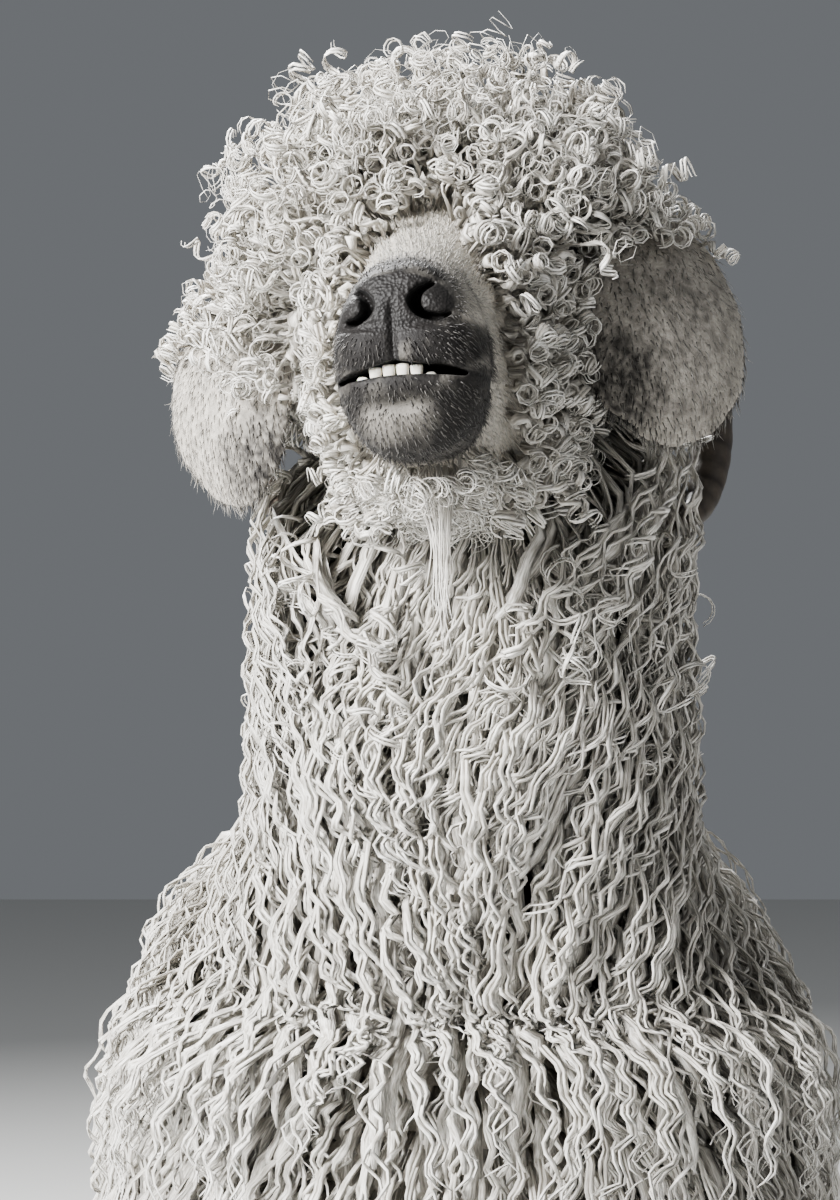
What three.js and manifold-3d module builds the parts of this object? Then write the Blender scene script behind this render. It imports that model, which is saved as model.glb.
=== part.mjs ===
// A life-size Angora goat doe in full fleece, standing square with her head held up.
// Millimetres, +Z up. She faces -Y, and +X is her left side. The soles stand on Z = 0.
import * as THREE from "three";
import { ParametricGeometry } from "three/addons/geometries/ParametricGeometry.js";
import { mergeVertices } from "three/addons/utils/BufferGeometryUtils.js";
import Module from "manifold-3d";

// Driving dimensions
const MUZZLE = [-27, -524, 797]; // front of the mouth line, where the head's own frame starts
const HEAD_YAW = THREE.MathUtils.degToRad(-7); // muzzle turned to her right
const HEAD_ROLL = THREE.MathUtils.degToRad(-4); // left side of the head held higher
const FRAME_SHIFT_Y = 59; // puts the origin under the middle of the whole outline
const GAP = 0.3; // clear space between two nodes
const FINEST = 0.05; // detail below this is smoothed away // detail below this is smoothed away
const CORE_SHARE = 0.5; // how much of the coat's depth is core
const FLEECE_SIDE = 58; // depth of the fleece on the flanks
const FLEECE_BACK = 50; // depth along the back
const FLEECE_BELLY = 74;
const FLEECE_CHEST = 52; // past the breast and the rump, along the body
const HALF_WIDTH = 197; // widest outline of the fleece
const NECK_WOOL = 42;
const MOP_WOOL = 54; // depth of the ringlets on the poll
const SOLE_Z = 0;
const HOOF_TOP = 41;
const KNEE_Z = 236;
const HOCK_Z = 252;
const EYE_RADIUS = 13.5;
const SEED = 21;

const wasm = await Module();
wasm.setup();
const X_AXIS = new THREE.Vector3(1, 0, 0);
const DOWN = new THREE.Vector3(0, 0, -1);

// Repeatable random numbers from 0 to 1.
let seedState = SEED;
function random() {
  seedState = (seedState * 1664525 + 1013904223) % 4294967296;
  return seedState / 4294967296;
}

function between(low, high) {
  return low + (high - low) * random();
}

// A closed geometry as a solid: shared points merged, collapsed triangles dropped, faces turned out.
function solid(geometry, matrix) {
  const bare = new THREE.BufferGeometry();
  bare.setAttribute("position", geometry.getAttribute("position").clone());
  bare.setIndex(geometry.index);
  if (matrix) bare.applyMatrix4(matrix);
  const merged = mergeVertices(bare, 1e-3);
  const index = merged.index.array;
  const kept = [];
  for (let i = 0; i < index.length; i += 3) {
    const [a, b, c] = [index[i], index[i + 1], index[i + 2]];
    if (a !== b && b !== c && c !== a) kept.push(a, b, c);
  }
  const build = (triangles) =>
    new wasm.Manifold(
      new wasm.Mesh({
        numProp: 3,
        vertProperties: merged.attributes.position.array,
        triVerts: new Uint32Array(triangles),
      }),
    );
  const made = build(kept);
  return made.volume() > 0 ? made : build(kept.reverse());
}

function joined(solids) {
  return wasm.Manifold.union(solids);
}

// The largest closed surface of a solid, with any scrap dropped.
function largest(body) {
  const pieces = body.simplify(FINEST).decompose();
  return pieces.reduce((best, piece) => (piece.volume() > best.volume() ? piece : best));
}

// A body lofted along a spine. A station is [x, y, z, side, dorsal, ventral]: a point of the spine and
// the half sizes of the ring there. A ring of no size closes an end.
class Loft {
  constructor(stations, { across = X_AXIS, acrossEnd = across, power = [1, 1], cup = 0, extra = 0 } = {}) {
    this.spine = new THREE.CatmullRomCurve3(stations.map((s) => new THREE.Vector3(s[0], s[1], s[2])));
    this.sizes = new THREE.CatmullRomCurve3(stations.map((s) => new THREE.Vector3(s[3], s[4], s[5])));
    this.across = across;
    this.acrossEnd = acrossEnd;
    this.power = power;
    this.cup = cup; // how far the ring bends like a trough, as a share of its half width
    this.extra = extra; // how much of the half width was added for clearance, and doesn't bend
  }

  point(u, v, target = new THREE.Vector3()) {
    const along = this.spine.getTangent(v);
    const across = this.across.clone().lerp(this.acrossEnd, v);
    const dorsal = new THREE.Vector3().crossVectors(along, across).normalize();
    const lateral = new THREE.Vector3().crossVectors(dorsal, along).normalize();
    const size = this.sizes.getPoint(v);
    const angle = 2 * Math.PI * u;
    const [c, s] = [Math.cos(angle), Math.sin(angle)];
    const power = s > 0 ? this.power[0] : this.power[1];
    const out = Math.max(size.x, 0) * Math.sign(c) * Math.abs(c) ** power;
    const half = Math.max(s > 0 ? size.y : size.z, 0);
    const trough = (this.cup * out * out) / Math.max(size.x - this.extra, 1);
    const up = half * Math.sign(s) * Math.abs(s) ** power - trough;
    target.copy(this.spine.getPoint(v)).addScaledVector(lateral, out).addScaledVector(dorsal, up);
    return target;
  }

  // The surface at (u, v): where it is, its two tangents and its outward normal.
  surface(u, v) {
    const step = 1e-3;
    const at = this.point(u, v);
    const alongU = this.point(u + step, v).sub(this.point(u - step, v)).divideScalar(2 * step);
    const alongV = this.point(u, Math.min(v + step, 1)).sub(this.point(u, Math.max(v - step, 0)));
    alongV.divideScalar(Math.min(v + step, 1) - Math.max(v - step, 0));
    const normal = new THREE.Vector3().crossVectors(alongU, alongV).normalize();
    if (normal.dot(at.clone().sub(this.spine.getPoint(v))) < 0) normal.negate();
    return { at, alongU, alongV, normal };
  }

  // The (u, v) reached from (u, v) by a short step along the surface.
  walk(u, v, step) {
    const { alongU, alongV } = this.surface(u, v);
    const [uu, uv, vv] = [alongU.dot(alongU), alongU.dot(alongV), alongV.dot(alongV)];
    const [su, sv] = [step.dot(alongU), step.dot(alongV)];
    const area = Math.max(uu * vv - uv * uv, 1e-6);
    const nextV = v + (sv * uu - su * uv) / area;
    return [u + (su * vv - sv * uv) / area, THREE.MathUtils.clamp(nextV, 0.02, 0.98)];
  }

  solid(sides, steps, matrix) {
    return solid(new ParametricGeometry((u, v, target) => this.point(u, v, target), sides, steps), matrix);
  }
}

// Stations with every ring made larger, and the two closed ends moved out along the spine.
function grown(stations, side, dorsal, ventral, ends = side) {
  const spine = stations.map((s) => new THREE.Vector3(s[0], s[1], s[2]));
  const last = stations.length - 1;
  const start = spine[0].clone().sub(spine[1]).setLength(ends);
  const finish = spine[last].clone().sub(spine[last - 1]).setLength(ends);
  return stations.map((s, i) => {
    const shift = i <= 1 ? start : i >= last - 1 ? finish : new THREE.Vector3();
    const share = i === 0 || i === last ? 0 : 1;
    const at = spine[i].clone().add(shift);
    return [...at.toArray(), s[3] + side * share, s[4] + dorsal * share, s[5] + ventral * share];
  });
}

// Stations with every ring made larger by the same amount, for a cut with clearance all round.
function padded(stations, extra) {
  const spine = stations.map((s) => new THREE.Vector3(s[0], s[1], s[2]));
  const last = stations.length - 1;
  return stations.map((s, i) => {
    if (i > 0 && i < last) return [...s.slice(0, 3), ...s.slice(3).map((size) => size + extra)];
    const out = spine[i].clone().sub(spine[i === 0 ? 1 : last - 1]).setLength(2.5 * extra);
    return [...spine[i].add(out).toArray(), 0, 0, 0];
  });
}

function mirrored(stations) {
  return stations.map(([x, ...rest]) => [-x, ...rest]);
}

// The half-space on the side of a plane that its normal points to, moved off the plane by half the gap.
class Side {
  constructor(normal, through) {
    this.normal = new THREE.Vector3(...normal).normalize();
    this.offset = this.normal.dot(new THREE.Vector3(...through));
  }

  flipped() {
    const normal = this.normal.clone().negate();
    return new Side(normal.toArray(), normal.clone().multiplyScalar(-this.offset).toArray());
  }

  moved(matrix) {
    const through = this.normal.clone().multiplyScalar(this.offset).applyMatrix4(matrix);
    return new Side(this.normal.clone().transformDirection(matrix).toArray(), through.toArray());
  }

  distance(point) {
    return this.normal.dot(point) - this.offset;
  }

  keep(body, inset = GAP / 2) {
    return body.trimByPlane(this.normal.toArray(), this.offset + inset);
  }
}

const BIG = 3000;

function regionSolid(sides, inset = -GAP / 2) {
  const whole = solid(new THREE.BoxGeometry(BIG, BIG, BIG));
  return sides.reduce((body, side) => side.keep(body, inset), whole);
}

function within(sides, body) {
  return sides.reduce((left, side) => side.keep(left), body);
}

// Moves a point so that it keeps clear of a region's faces, from inside it or from outside it.
function heldInside(sides, point, margin) {
  for (const side of sides) {
    const lack = margin - side.distance(point);
    if (lack > 0) point.addScaledVector(side.normal, lack);
  }
}

function heldOutside(sides, point, margin) {
  const depths = sides.map((side) => side.distance(point) + margin);
  const least = Math.min(...depths);
  if (least > 0) point.addScaledVector(sides[depths.indexOf(least)].normal, -least);
}

// Which way the coat lies at a point of the skin: down, parting along the back and sweeping to the rear.
function lieAt(normal, at, sweep) {
  const parting = 0.6 * Math.sign(at.x || 1) * Math.max(normal.z, 0);
  const lie = DOWN.clone().add(new THREE.Vector3(parting, 0, 0)).add(sweep);
  return lie.addScaledVector(normal, -lie.dot(normal)).normalize();
}

// One hanging lock, rooted in a core. It leaves the core, turns to the lie of the coat and follows the
// core's side with a slow wave. Its tip bends clear, and under an overhang it hangs free.
function lock(core, u, v, style) {
  const { length, width, thick, lift, sink, sweep, wave, hold, bends = 4 } = style;
  const phase = between(0, 2 * Math.PI);
  const first = core.surface(u, v);
  const point = first.at.clone();
  let normal = first.normal;
  const spine = [];
  let side = new THREE.Vector3();
  for (let i = 0; i <= bends; i++) {
    const t = i / bends;
    const overhang = normal.z < -0.75;
    const lie = overhang ? DOWN.clone().add(sweep) : lieAt(normal, point, sweep);
    side = overhang ? X_AXIS.clone() : new THREE.Vector3().crossVectors(lie, normal).normalize();
    const height = -sink + (lift + sink) * (1 - (1 - t) ** 2);
    const swing = wave * Math.sin(phase + 5.5 * t) * Math.min(1, 2 * t);
    spine.push(point.clone().addScaledVector(normal, height).addScaledVector(side, swing));
    const step = lie.clone().multiplyScalar(length / bends);
    if (overhang) point.add(step);
    else {
      [u, v] = core.walk(u, v, step);
      const next = core.surface(u, v);
      point.copy(next.at);
      normal = next.normal;
    }
  }
  const shape = [0, 1, 1, 0.7, 0];
  const stations = spine.map((at, i) => {
    const share = shape[Math.round((i / bends) * (shape.length - 1))];
    if (i > 0) hold(at, thick * 0.7);
    return [...at.toArray(), (width / 2) * share, (thick / 2) * share, (thick / 2) * share];
  });
  return new Loft(stations, { across: side }).solid(4, bends + 1);
}

// One ringlet: a rounded, tapered curl of nearly one turn that stands off the core.
function ringlet(core, u, v, style) {
  const { radius, thick, lift, sink, hold, bends = 5, turns = 0.8 } = style;
  const { at, normal } = core.surface(u, v);
  const lie = lieAt(normal, at, new THREE.Vector3(0, -0.4, 0));
  const side = new THREE.Vector3().crossVectors(lie, normal).normalize();
  const hand = random() < 0.5 ? 1 : -1;
  const stations = [];
  for (let i = 0; i <= bends; i++) {
    const t = i / bends;
    const angle = -0.4 + 2 * Math.PI * turns * t;
    const height = -sink + (lift + sink) * Math.sin(Math.PI * Math.min(0.1 + 0.75 * t, 0.7));
    const point = at.clone().addScaledVector(normal, height);
    point.addScaledVector(side, hand * radius * Math.sin(angle));
    point.addScaledVector(lie, radius * (1 - Math.cos(angle)));
    if (i > 0) hold(point, thick * 0.6);
    const size = i === 0 || i === bends ? 0 : (thick / 2) * (1.1 - 0.35 * t);
    stations.push([...point.toArray(), size, size, size]);
  }
  return new Loft(stations, { across: normal }).solid(4, bends);
}

// Roots spread evenly over a core, each row shifted by half a step from the next.
function roots(core, rows, allowed) {
  const found = [];
  rows.forEach(([v, count], row) => {
    for (let i = 0; i < count; i++) {
      const u = (i + 0.5 * (row % 2) + between(-0.12, 0.12)) / count;
      const atV = v + between(-0.008, 0.008);
      const { at, normal } = core.surface(u, atV);
      if (allowed(at, normal)) found.push([u, atV]);
    }
  });
  return found;
}

// Head, in its own frame: -Y forward from the mouth line's front, +Z up.
const headPose = new THREE.Matrix4()
  .makeTranslation(...MUZZLE)
  .multiply(new THREE.Matrix4().makeRotationZ(HEAD_YAW))
  .multiply(new THREE.Matrix4().makeRotationY(HEAD_ROLL));

const SKULL = [
  [0, 228, 38, 0, 0, 0],
  [0, 216, 36, 34, 36, 42],
  [0, 190, 30, 50, 60, 72],
  [0, 160, 22, 54, 72, 72],
  [0, 135, 18, 50, 62, 64],
  [0, 105, 12, 39, 54, 54],
  [0, 75, 8, 30, 48, 46],
  [0, 45, 5, 26.5, 43, 40],
  [0, 22, 4, 28.5, 39, 37],
  [0, 8, 3.5, 26, 33.5, 31.5],
  [0, 0, 3, 18, 23, 21],
  [0, -4, 3, 0, 0, 0],
];
const MOP_SKIN = [
  [0, 236, 28, 0, 0, 0],
  [0, 226, 30, 28, 38, 36],
  [0, 205, 38, 52, 58, 54],
  [0, 178, 42, 60, 66, 60],
  [0, 150, 46, 58, 60, 58],
  [0, 126, 52, 44, 38, 42],
  [0, 108, 58, 24, 17, 20],
  [0, 100, 59, 0, 0, 0],
];
const EYE_AT = [37, 142, 48];
const EYE_LOOK = new THREE.Vector3(0.9, -0.38, 0.16).normalize();
const TOOTH_WIDTH = 5.6;
const TEETH = 6;
const NOSE_MIDDLE = -4; // her nose and teeth sit a little to the right of the middle
const MOUTH_CORNER = 58;

const neckPlane = new Side([0, -0.779, 0.628], [0, 128, -72]);

function turnedTo(direction, at) {
  const turn = new THREE.Quaternion().setFromUnitVectors(new THREE.Vector3(0, 0, 1), direction);
  return new THREE.Matrix4().compose(new THREE.Vector3(...at), turn, new THREE.Vector3(1, 1, 1));
}

function eyeball(side, extra = 0) {
  const at = new THREE.Matrix4().makeTranslation(side * EYE_AT[0], EYE_AT[1], EYE_AT[2]);
  return solid(new THREE.SphereGeometry(EYE_RADIUS + extra, 12, 8), at);
}

// Two lids: a ring round the eye that stands proud of the orbit.
function lids(side) {
  const look = EYE_LOOK.clone();
  look.x *= side;
  const at = new THREE.Vector3(side * EYE_AT[0], EYE_AT[1], EYE_AT[2]).addScaledVector(look, 6);
  return solid(new THREE.TorusGeometry(12.5, 3.6, 5, 12), turnedTo(look, at.toArray()));
}

// A nostril: a bent slot, wide at the middle and curling up to its outer end.
function nostril(side) {
  const bend = [
    [4.5, -14, 30, 0, 0, 0],
    [6.5, -4, 27.5, 3.6, 4.2, 4.2],
    [11, 4, 23.5, 4.4, 5.4, 5.4],
    [16.5, 8, 21.5, 3.4, 4, 4],
    [21, 4, 24.5, 2.2, 2.6, 2.6],
    [22.5, -4, 28, 0, 0, 0],
  ];
  const stations = side > 0 ? bend : mirrored(bend);
  return new Loft(stations, { across: new THREE.Vector3(0, 1, 0) }).solid(8, 8).translate([NOSE_MIDDLE, 0, 0]);
}

// The line of the mouth, cut between the lips, and a pocket behind it for the teeth.
function mouthCut() {
  const slit = new THREE.Shape();
  slit.moveTo(-20, 3.4);
  slit.quadraticCurveTo(24, 2.6, MOUTH_CORNER, -6);
  slit.quadraticCurveTo(24, -2.6, -20, -2.4);
  slit.closePath();
  const plate = new THREE.ExtrudeGeometry(slit, { depth: 80, bevelEnabled: false, curveSegments: 4 });
  const place = new THREE.Matrix4()
    .makeTranslation(-40, 0, 0)
    .multiply(new THREE.Matrix4().makeBasis(new THREE.Vector3(0, 1, 0), new THREE.Vector3(0, 0, 1), X_AXIS));
  const tongue = new Loft(
    [
      [0, 80, -2, 0, 0, 0],
      [0, 60, -1, 17, 8, 8],
      [0, 30, 0, 19, 8, 8],
      [0, 16, 0, 16, 8, 8],
      [0, 10, 0, 0, 0, 0],
    ],
    { power: [1, 1] },
  ).solid(12, 6);
  return solid(plate, place).subtract(tongue);
}

// The fine groove from the nose to the upper lip.
function philtrum() {
  const groove = new THREE.CylinderGeometry(1.3, 1.3, 26, 6);
  const stand = new THREE.Matrix4()
    .makeTranslation(NOSE_MIDDLE, -2.6, 12)
    .multiply(new THREE.Matrix4().makeRotationX(Math.PI / 2 - 0.12));
  return solid(groove, stand);
}

// The lower front teeth, set side by side on an arc behind the lower lip.
function incisors() {
  const pieces = [];
  for (let i = 0; i < TEETH; i++) {
    const place = i - (TEETH - 1) / 2;
    const x = place * (TOOTH_WIDTH - 0.8);
    const y = 4.6 + 0.012 * x * x;
    const rows = [
      [x, y + 0.4, -2.1, 0, 0, 0],
      [x, y + 0.3, -1.7, TOOTH_WIDTH * 0.44, 1.7, 1.7],
      [x, y, 0.6, TOOTH_WIDTH * 0.5, 1.8, 1.8],
      [x, y, 1.6, TOOTH_WIDTH * 0.42, 1.3, 1.3],
      [x, y, 1.8, 0, 0, 0],
    ];
    pieces.push(new Loft(rows).solid(6, 4));
  }
  return largest(joined(pieces).translate([NOSE_MIDDLE, 0, 0]));
}

// An ear: a cupped leaf that hangs from the side of the poll.
function ear(side, extra = 0) {
  const left = [
    [48, 188, 66, 0, 0, 0],
    [56, 186, 70, 10, 5, 5],
    [70, 178, 72, 18, 4.2, 4.2],
    [84, 163, 58, 31, 2.6, 2.6],
    [90, 148, 32, 39, 2.1, 2.1],
    [90, 138, 4, 38, 1.9, 1.9],
    [86, 134, -18, 24, 1.7, 1.7],
    [82, 133, -31, 0, 0, 0],
  ];
  const right = [
    [-48, 188, 66, 0, 0, 0],
    [-56, 186, 70, 10, 5, 5],
    [-70, 180, 68, 18, 4.2, 4.2],
    [-86, 166, 50, 28, 2.6, 2.6],
    [-95, 152, 22, 34, 2.1, 2.1],
    [-94, 142, -6, 32, 1.9, 1.9],
    [-87, 138, -30, 19, 1.7, 1.7],
    [-82, 137, -42, 0, 0, 0],
  ];
  const across = new THREE.Vector3(side * 0.35, 0.8, 0.2);
  const acrossEnd = new THREE.Vector3(side * 0.86, 0.3, 0.35);
  const rows = padded(side > 0 ? left : right, extra);
  return new Loft(rows, { across, acrossEnd, cup: side * 0.3, extra }).solid(12, 11);
}

// A horn: it leaves the poll, sweeps back, out and down, and its tip turns forward.
// The right one is a little shorter, and lies closer to the cheek.
function horn(side, extra = 0) {
  const base = [
    [18, 176, 78, 0, 0, 0],
    [21, 180, 88, 15, 18, 16],
    [30, 198, 104, 14, 17, 15],
    [46, 226, 112, 13, 15, 14],
    [66, 250, 98, 12, 13.5, 12.5],
    [86, 258, 60, 11, 12.5, 11.5],
  ];
  const leftEnd = [
    [99, 250, 12, 10, 11.5, 10.5],
    [101, 232, -26, 8.5, 9.5, 9],
    [94, 214, -50, 6.5, 7, 6.5],
    [83, 199, -58, 4.2, 4.5, 4.2],
    [76, 191, -57, 0, 0, 0],
  ];
  const rightEnd = [
    [96, 252, 20, 10, 11.5, 10.5],
    [96, 237, -12, 8.5, 9.5, 9],
    [90, 221, -32, 6.5, 7, 6.5],
    [81, 208, -40, 4.2, 4.5, 4.2],
    [75, 201, -40, 0, 0, 0],
  ];
  const rows = padded([...base, ...(side > 0 ? leftEnd : rightEnd)], extra);
  const across = new THREE.Vector3(-0.75 * side, 0.2, 0.2);
  return new Loft(side > 0 ? rows : mirrored(rows), { across }).solid(7, 13);
}

// Neck: a loft from inside the chest up to the back of the skull.
const NECK = [
  [0, -170, 420, 0, 0, 0],
  [0, -190, 460, 84, 118, 112],
  [0, -228, 540, 68, 92, 92],
  [0, -270, 620, 54, 68, 66],
  [0, -308, 700, 48, 57, 54],
  [0, -336, 776, 46, 52, 52],
  [0, -352, 824, 42, 46, 46],
  [0, -360, 846, 0, 0, 0],
];
const breastPlane = new Side([0, -0.676, 0.737], [0, -352, 455]);
const TORSO = [
  [0, 342, 478, 0, 0, 0],
  [0, 330, 476, 62, 74, 62],
  [0, 272, 464, 108, 122, 108],
  [0, 180, 450, 119, 142, 120],
  [0, 60, 436, 131, 158, 132],
  [0, -80, 436, 127, 164, 134],
  [0, -200, 446, 110, 162, 136],
  [0, -286, 444, 88, 116, 116],
  [0, -330, 434, 54, 66, 78],
  [0, -344, 430, 0, 0, 0],
];
const FORE_LEG = [
  [74, -180, 448, 0, 0, 0],
  [76, -184, 400, 34, 52, 50],
  [78, -184, 340, 29, 40, 42],
  [79, -188, 284, 23, 28, 28],
  [78, -193, 226, 20, 21, 19.5],
  [78, -189, 188, 14.5, 15, 15],
  [78, -188, 150, 12, 12.5, 13.5],
  [78, -189, 110, 13, 13.5, 14.5],
  [78, -191, 84, 16, 16.5, 18],
  [78, -201, 56, 15, 15, 16],
  [78, -208, 36, 16, 16, 15],
  [78, -211, 28, 0, 0, 0],
];
const HIND_LEG = [
  [88, 222, 540, 0, 0, 0],
  [96, 222, 480, 46, 74, 80],
  [101, 214, 410, 44, 82, 80],
  [100, 216, 352, 36, 62, 60],
  [94, 246, 298, 25, 35, 33],
  [88, 284, 246, 17, 21, 27],
  [87, 292, 214, 14.5, 17, 20],
  [87, 292, 160, 12.5, 13, 15],
  [87, 289, 112, 13.5, 14, 15.5],
  [87, 287, 86, 16, 17, 18.5],
  [87, 276, 56, 15, 15.5, 16],
  [87, 269, 36, 16, 16, 15],
  [87, 266, 28, 0, 0, 0],
];
const TAIL = [
  [0, 300, 556, 0, 0, 0],
  [0, 322, 568, 16, 14, 14],
  [0, 352, 592, 14, 12, 12],
  [0, 372, 626, 12, 10, 10],
  [0, 378, 656, 8, 7, 7],
  [0, 378, 668, 0, 0, 0],
];

// Depth of wool on a leg by height: deep at the elbow and stifle, none below the knee and hock.
function woolly(stations, deep, kneeZ) {
  return stations.map((s, i) => {
    if (i === 0 || i === stations.length - 1) return s;
    const share = THREE.MathUtils.smoothstep(s[2], kneeZ - 60, 360);
    const add = 3 + deep * share * CORE_SHARE;
    return [s[0], s[1], s[2], s[3] + add, s[4] + add, s[5] + add];
  });
}

const LEG_WOOL = 44;
const legStations = { fore: woolly(FORE_LEG, LEG_WOOL, KNEE_Z), hind: woolly(HIND_LEG, LEG_WOOL, HOCK_Z) };
const kneeZ = { fore: KNEE_Z, hind: HOCK_Z };

// The space of each leg, cut off the trunk by a slanting plane and by upright ones.
function legRegion(which, side) {
  if (which === "fore")
    return [
      new Side([side, 0, 0], [side * 20, 0, 0]),
      new Side([0, 1, 0], [0, -288, 0]),
      new Side([0, -1, 0], [0, -88, 0]),
      new Side([side * 0.5, 0, -1], [0, 0, 262]),
    ];
  return [
    new Side([side, 0, 0], [side * 16, 0, 0]),
    new Side([0, 1, 0], [0, 112, 0]),
    new Side([side * 1.25, 0, -1], [0, 0, 268]),
  ];
}

const LEGS = [];
for (const which of ["fore", "hind"]) {
  for (const side of [1, -1]) {
    const name = `${which}_leg_${side > 0 ? "left" : "right"}`;
    LEGS.push({ which, side, name, region: legRegion(which, side) });
  }
}
const tailPlane = new Side([0, 0.85, 0.53], [0, 336, 566]);

const coreLofts = {
  torso: new Loft(
    grown(TORSO, FLEECE_SIDE * CORE_SHARE, FLEECE_BACK * CORE_SHARE, FLEECE_BELLY * CORE_SHARE,
      FLEECE_CHEST * CORE_SHARE),
    { power: [1.1, 0.86] },
  ),
  neck: new Loft(
    grown(NECK, NECK_WOOL * CORE_SHARE, NECK_WOOL * CORE_SHARE, NECK_WOOL * 1.15 * CORE_SHARE, 0),
  ),
  mop: new Loft(grown(MOP_SKIN, MOP_WOOL * CORE_SHARE, MOP_WOOL * CORE_SHARE, 30 * CORE_SHARE, 22 * CORE_SHARE)),
  tail: new Loft(grown(TAIL, 30 * CORE_SHARE, 30 * CORE_SHARE, 30 * CORE_SHARE, 30 * CORE_SHARE)),
};

function legLoft(leg) {
  const stations = legStations[leg.which];
  return new Loft(leg.side > 0 ? stations : mirrored(stations), { power: [1, 1] });
}

const legLofts = Object.fromEntries(LEGS.map((leg) => [leg.name, legLoft(leg)]));
const flesh = joined([
  coreLofts.torso.solid(20, 12),
  coreLofts.neck.solid(18, 8),
  ...LEGS.map((leg) => legLofts[leg.name].solid(10, 13)),
]);
const tailCore = coreLofts.tail.solid(10, 7);

const worldNeckPlane = neckPlane.moved(headPose);
const neckRegion = [worldNeckPlane.flipped(), breastPlane];
const torsoRegion = [breastPlane.flipped(), tailPlane.flipped()];
const tailRegion = [tailPlane];

// Coats: each call returns the locks of one node.
function fleeceOf(core, rows, allowed, style) {
  return roots(core, rows, allowed).map(([u, v]) => {
    const { at } = core.surface(u, v);
    return lock(core, u, v, style(at));
  });
}

function insideOf(region) {
  return (point, margin) => heldInside(region, point, margin);
}

function outOf(regions, stayIn) {
  return (point, margin) => {
    heldInside(stayIn, point, margin);
    for (const region of regions) heldOutside(region, point, margin);
  };
}

const inAll = (region, point, margin) => region.every((side) => side.distance(point) > margin);

function torsoFleece() {
  const legSpaces = LEGS.map((leg) => leg.region);
  const widest = [1, -1].map((side) => new Side([-side, 0, 0], [side * HALF_WIDTH, 0, 0]));
  const hold = outOf(legSpaces, [...torsoRegion, ...widest]);
  const allowed = (at) =>
    inAll(torsoRegion, at, 4) && !legSpaces.some((space) => inAll(space, at, -16));
  const rows = [
    [0.12, 5], [0.24, 7], [0.37, 7], [0.49, 8], [0.61, 8], [0.73, 8], [0.84, 7], [0.93, 4],
  ];
  return fleeceOf(coreLofts.torso, rows, allowed, () => ({
    length: between(140, 165),
    width: between(100, 114),
    thick: between(26, 32),
    lift: (FLEECE_SIDE - 8) * (1 - CORE_SHARE),
    sink: 14,
    sweep: new THREE.Vector3(0, 0.28, 0),
    wave: 11,
    hold,
  }));
}

function neckFleece() {
  const rows = [[0.3, 7], [0.42, 8], [0.54, 7], [0.66, 8], [0.8, 7]];
  const breast = [[0.82, 10], [0.94, 6]];
  const allowed = (at) => inAll(neckRegion, at, 3);
  const style = () => ({
    length: between(100, 122),
    width: between(50, 60),
    thick: between(19, 24),
    lift: NECK_WOOL * (1 - CORE_SHARE) - 5,
    sink: 10,
    sweep: new THREE.Vector3(0, 0.1, 0),
    wave: 8,
    hold: insideOf(neckRegion),
  });
  const onBreast = (at) => at.y < -240 && allowed(at);
  return [
    ...fleeceOf(coreLofts.neck, rows, (at) => at.z > 500 && allowed(at), style),
    ...fleeceOf(coreLofts.torso, breast, onBreast, style),
  ];
}

function legFleece(leg) {
  const region = [...leg.region, new Side([0, 0, 1], [0, 0, kneeZ[leg.which]])];
  const rows = leg.which === "fore" ? [[0.2, 4], [0.27, 4]] : [[0.16, 5], [0.27, 4]];
  return fleeceOf(legLofts[leg.name], rows, (at) => inAll(region, at, 2), (at) => ({
    length: Math.min(between(70, 95), at.z - kneeZ[leg.which] + 8),
    width: between(50, 60),
    thick: between(16, 20),
    lift: 14,
    sink: 9,
    sweep: new THREE.Vector3(0, 0.1, 0),
    wave: 5,
    hold: insideOf(region),
  }));
}

function tailFleece() {
  const rows = [[0.5, 4], [0.75, 4]];
  return fleeceOf(coreLofts.tail, rows, (at) => inAll(tailRegion, at, 2), () => ({
    length: between(50, 62),
    width: between(26, 32),
    thick: 12,
    lift: 12,
    sink: 7,
    sweep: new THREE.Vector3(0, 0.5, 0),
    wave: 4,
    hold: insideOf(tailRegion),
    bends: 3,
  }));
}

// Ringlets of the head, kept off the eyes, the bridge of the nose and the space of the ears.
function mopRinglets() {
  const rows = [[0.14, 4], [0.27, 8], [0.4, 9], [0.53, 9], [0.66, 8], [0.79, 6], [0.9, 3]];
  const eyes = [1, -1].map((side) => new THREE.Vector3(side * 56, EYE_AT[1] - 10, EYE_AT[2]));
  const clearOfEyes = (at) => eyes.every((eye) => eye.distanceTo(at) > 17);
  const allowed = (at) => neckPlane.distance(at) > 6 && clearOfEyes(at);
  return roots(coreLofts.mop, rows, allowed).map(([u, v]) =>
    ringlet(coreLofts.mop, u, v, {
      radius: between(13, 16),
      thick: between(22, 27),
      lift: MOP_WOOL * (1 - CORE_SHARE) - 12,
      sink: 12,
      hold: insideOf([neckPlane]),
    }),
  );
}

// The thin beard under the chin, two flat tapered locks.
function beard() {
  const hang = (x, y, reach, width) => {
    const rows = [
      [x, y + 3, -22, 0, 0, 0],
      [x, y, -32, width * 0.8, 3.4, 3.4],
      [x + 1, y - 1, -32 - reach * 0.35, width, 3, 3],
      [x + 3, y, -32 - reach * 0.7, width * 0.55, 2.2, 2.2],
      [x - 1, y + 2, -32 - reach, 0, 0, 0],
    ];
    return new Loft(rows).solid(6, 7);
  };
  return [hang(1, 27, 66, 7), hang(-3, 33, 46, 6)];
}

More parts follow.
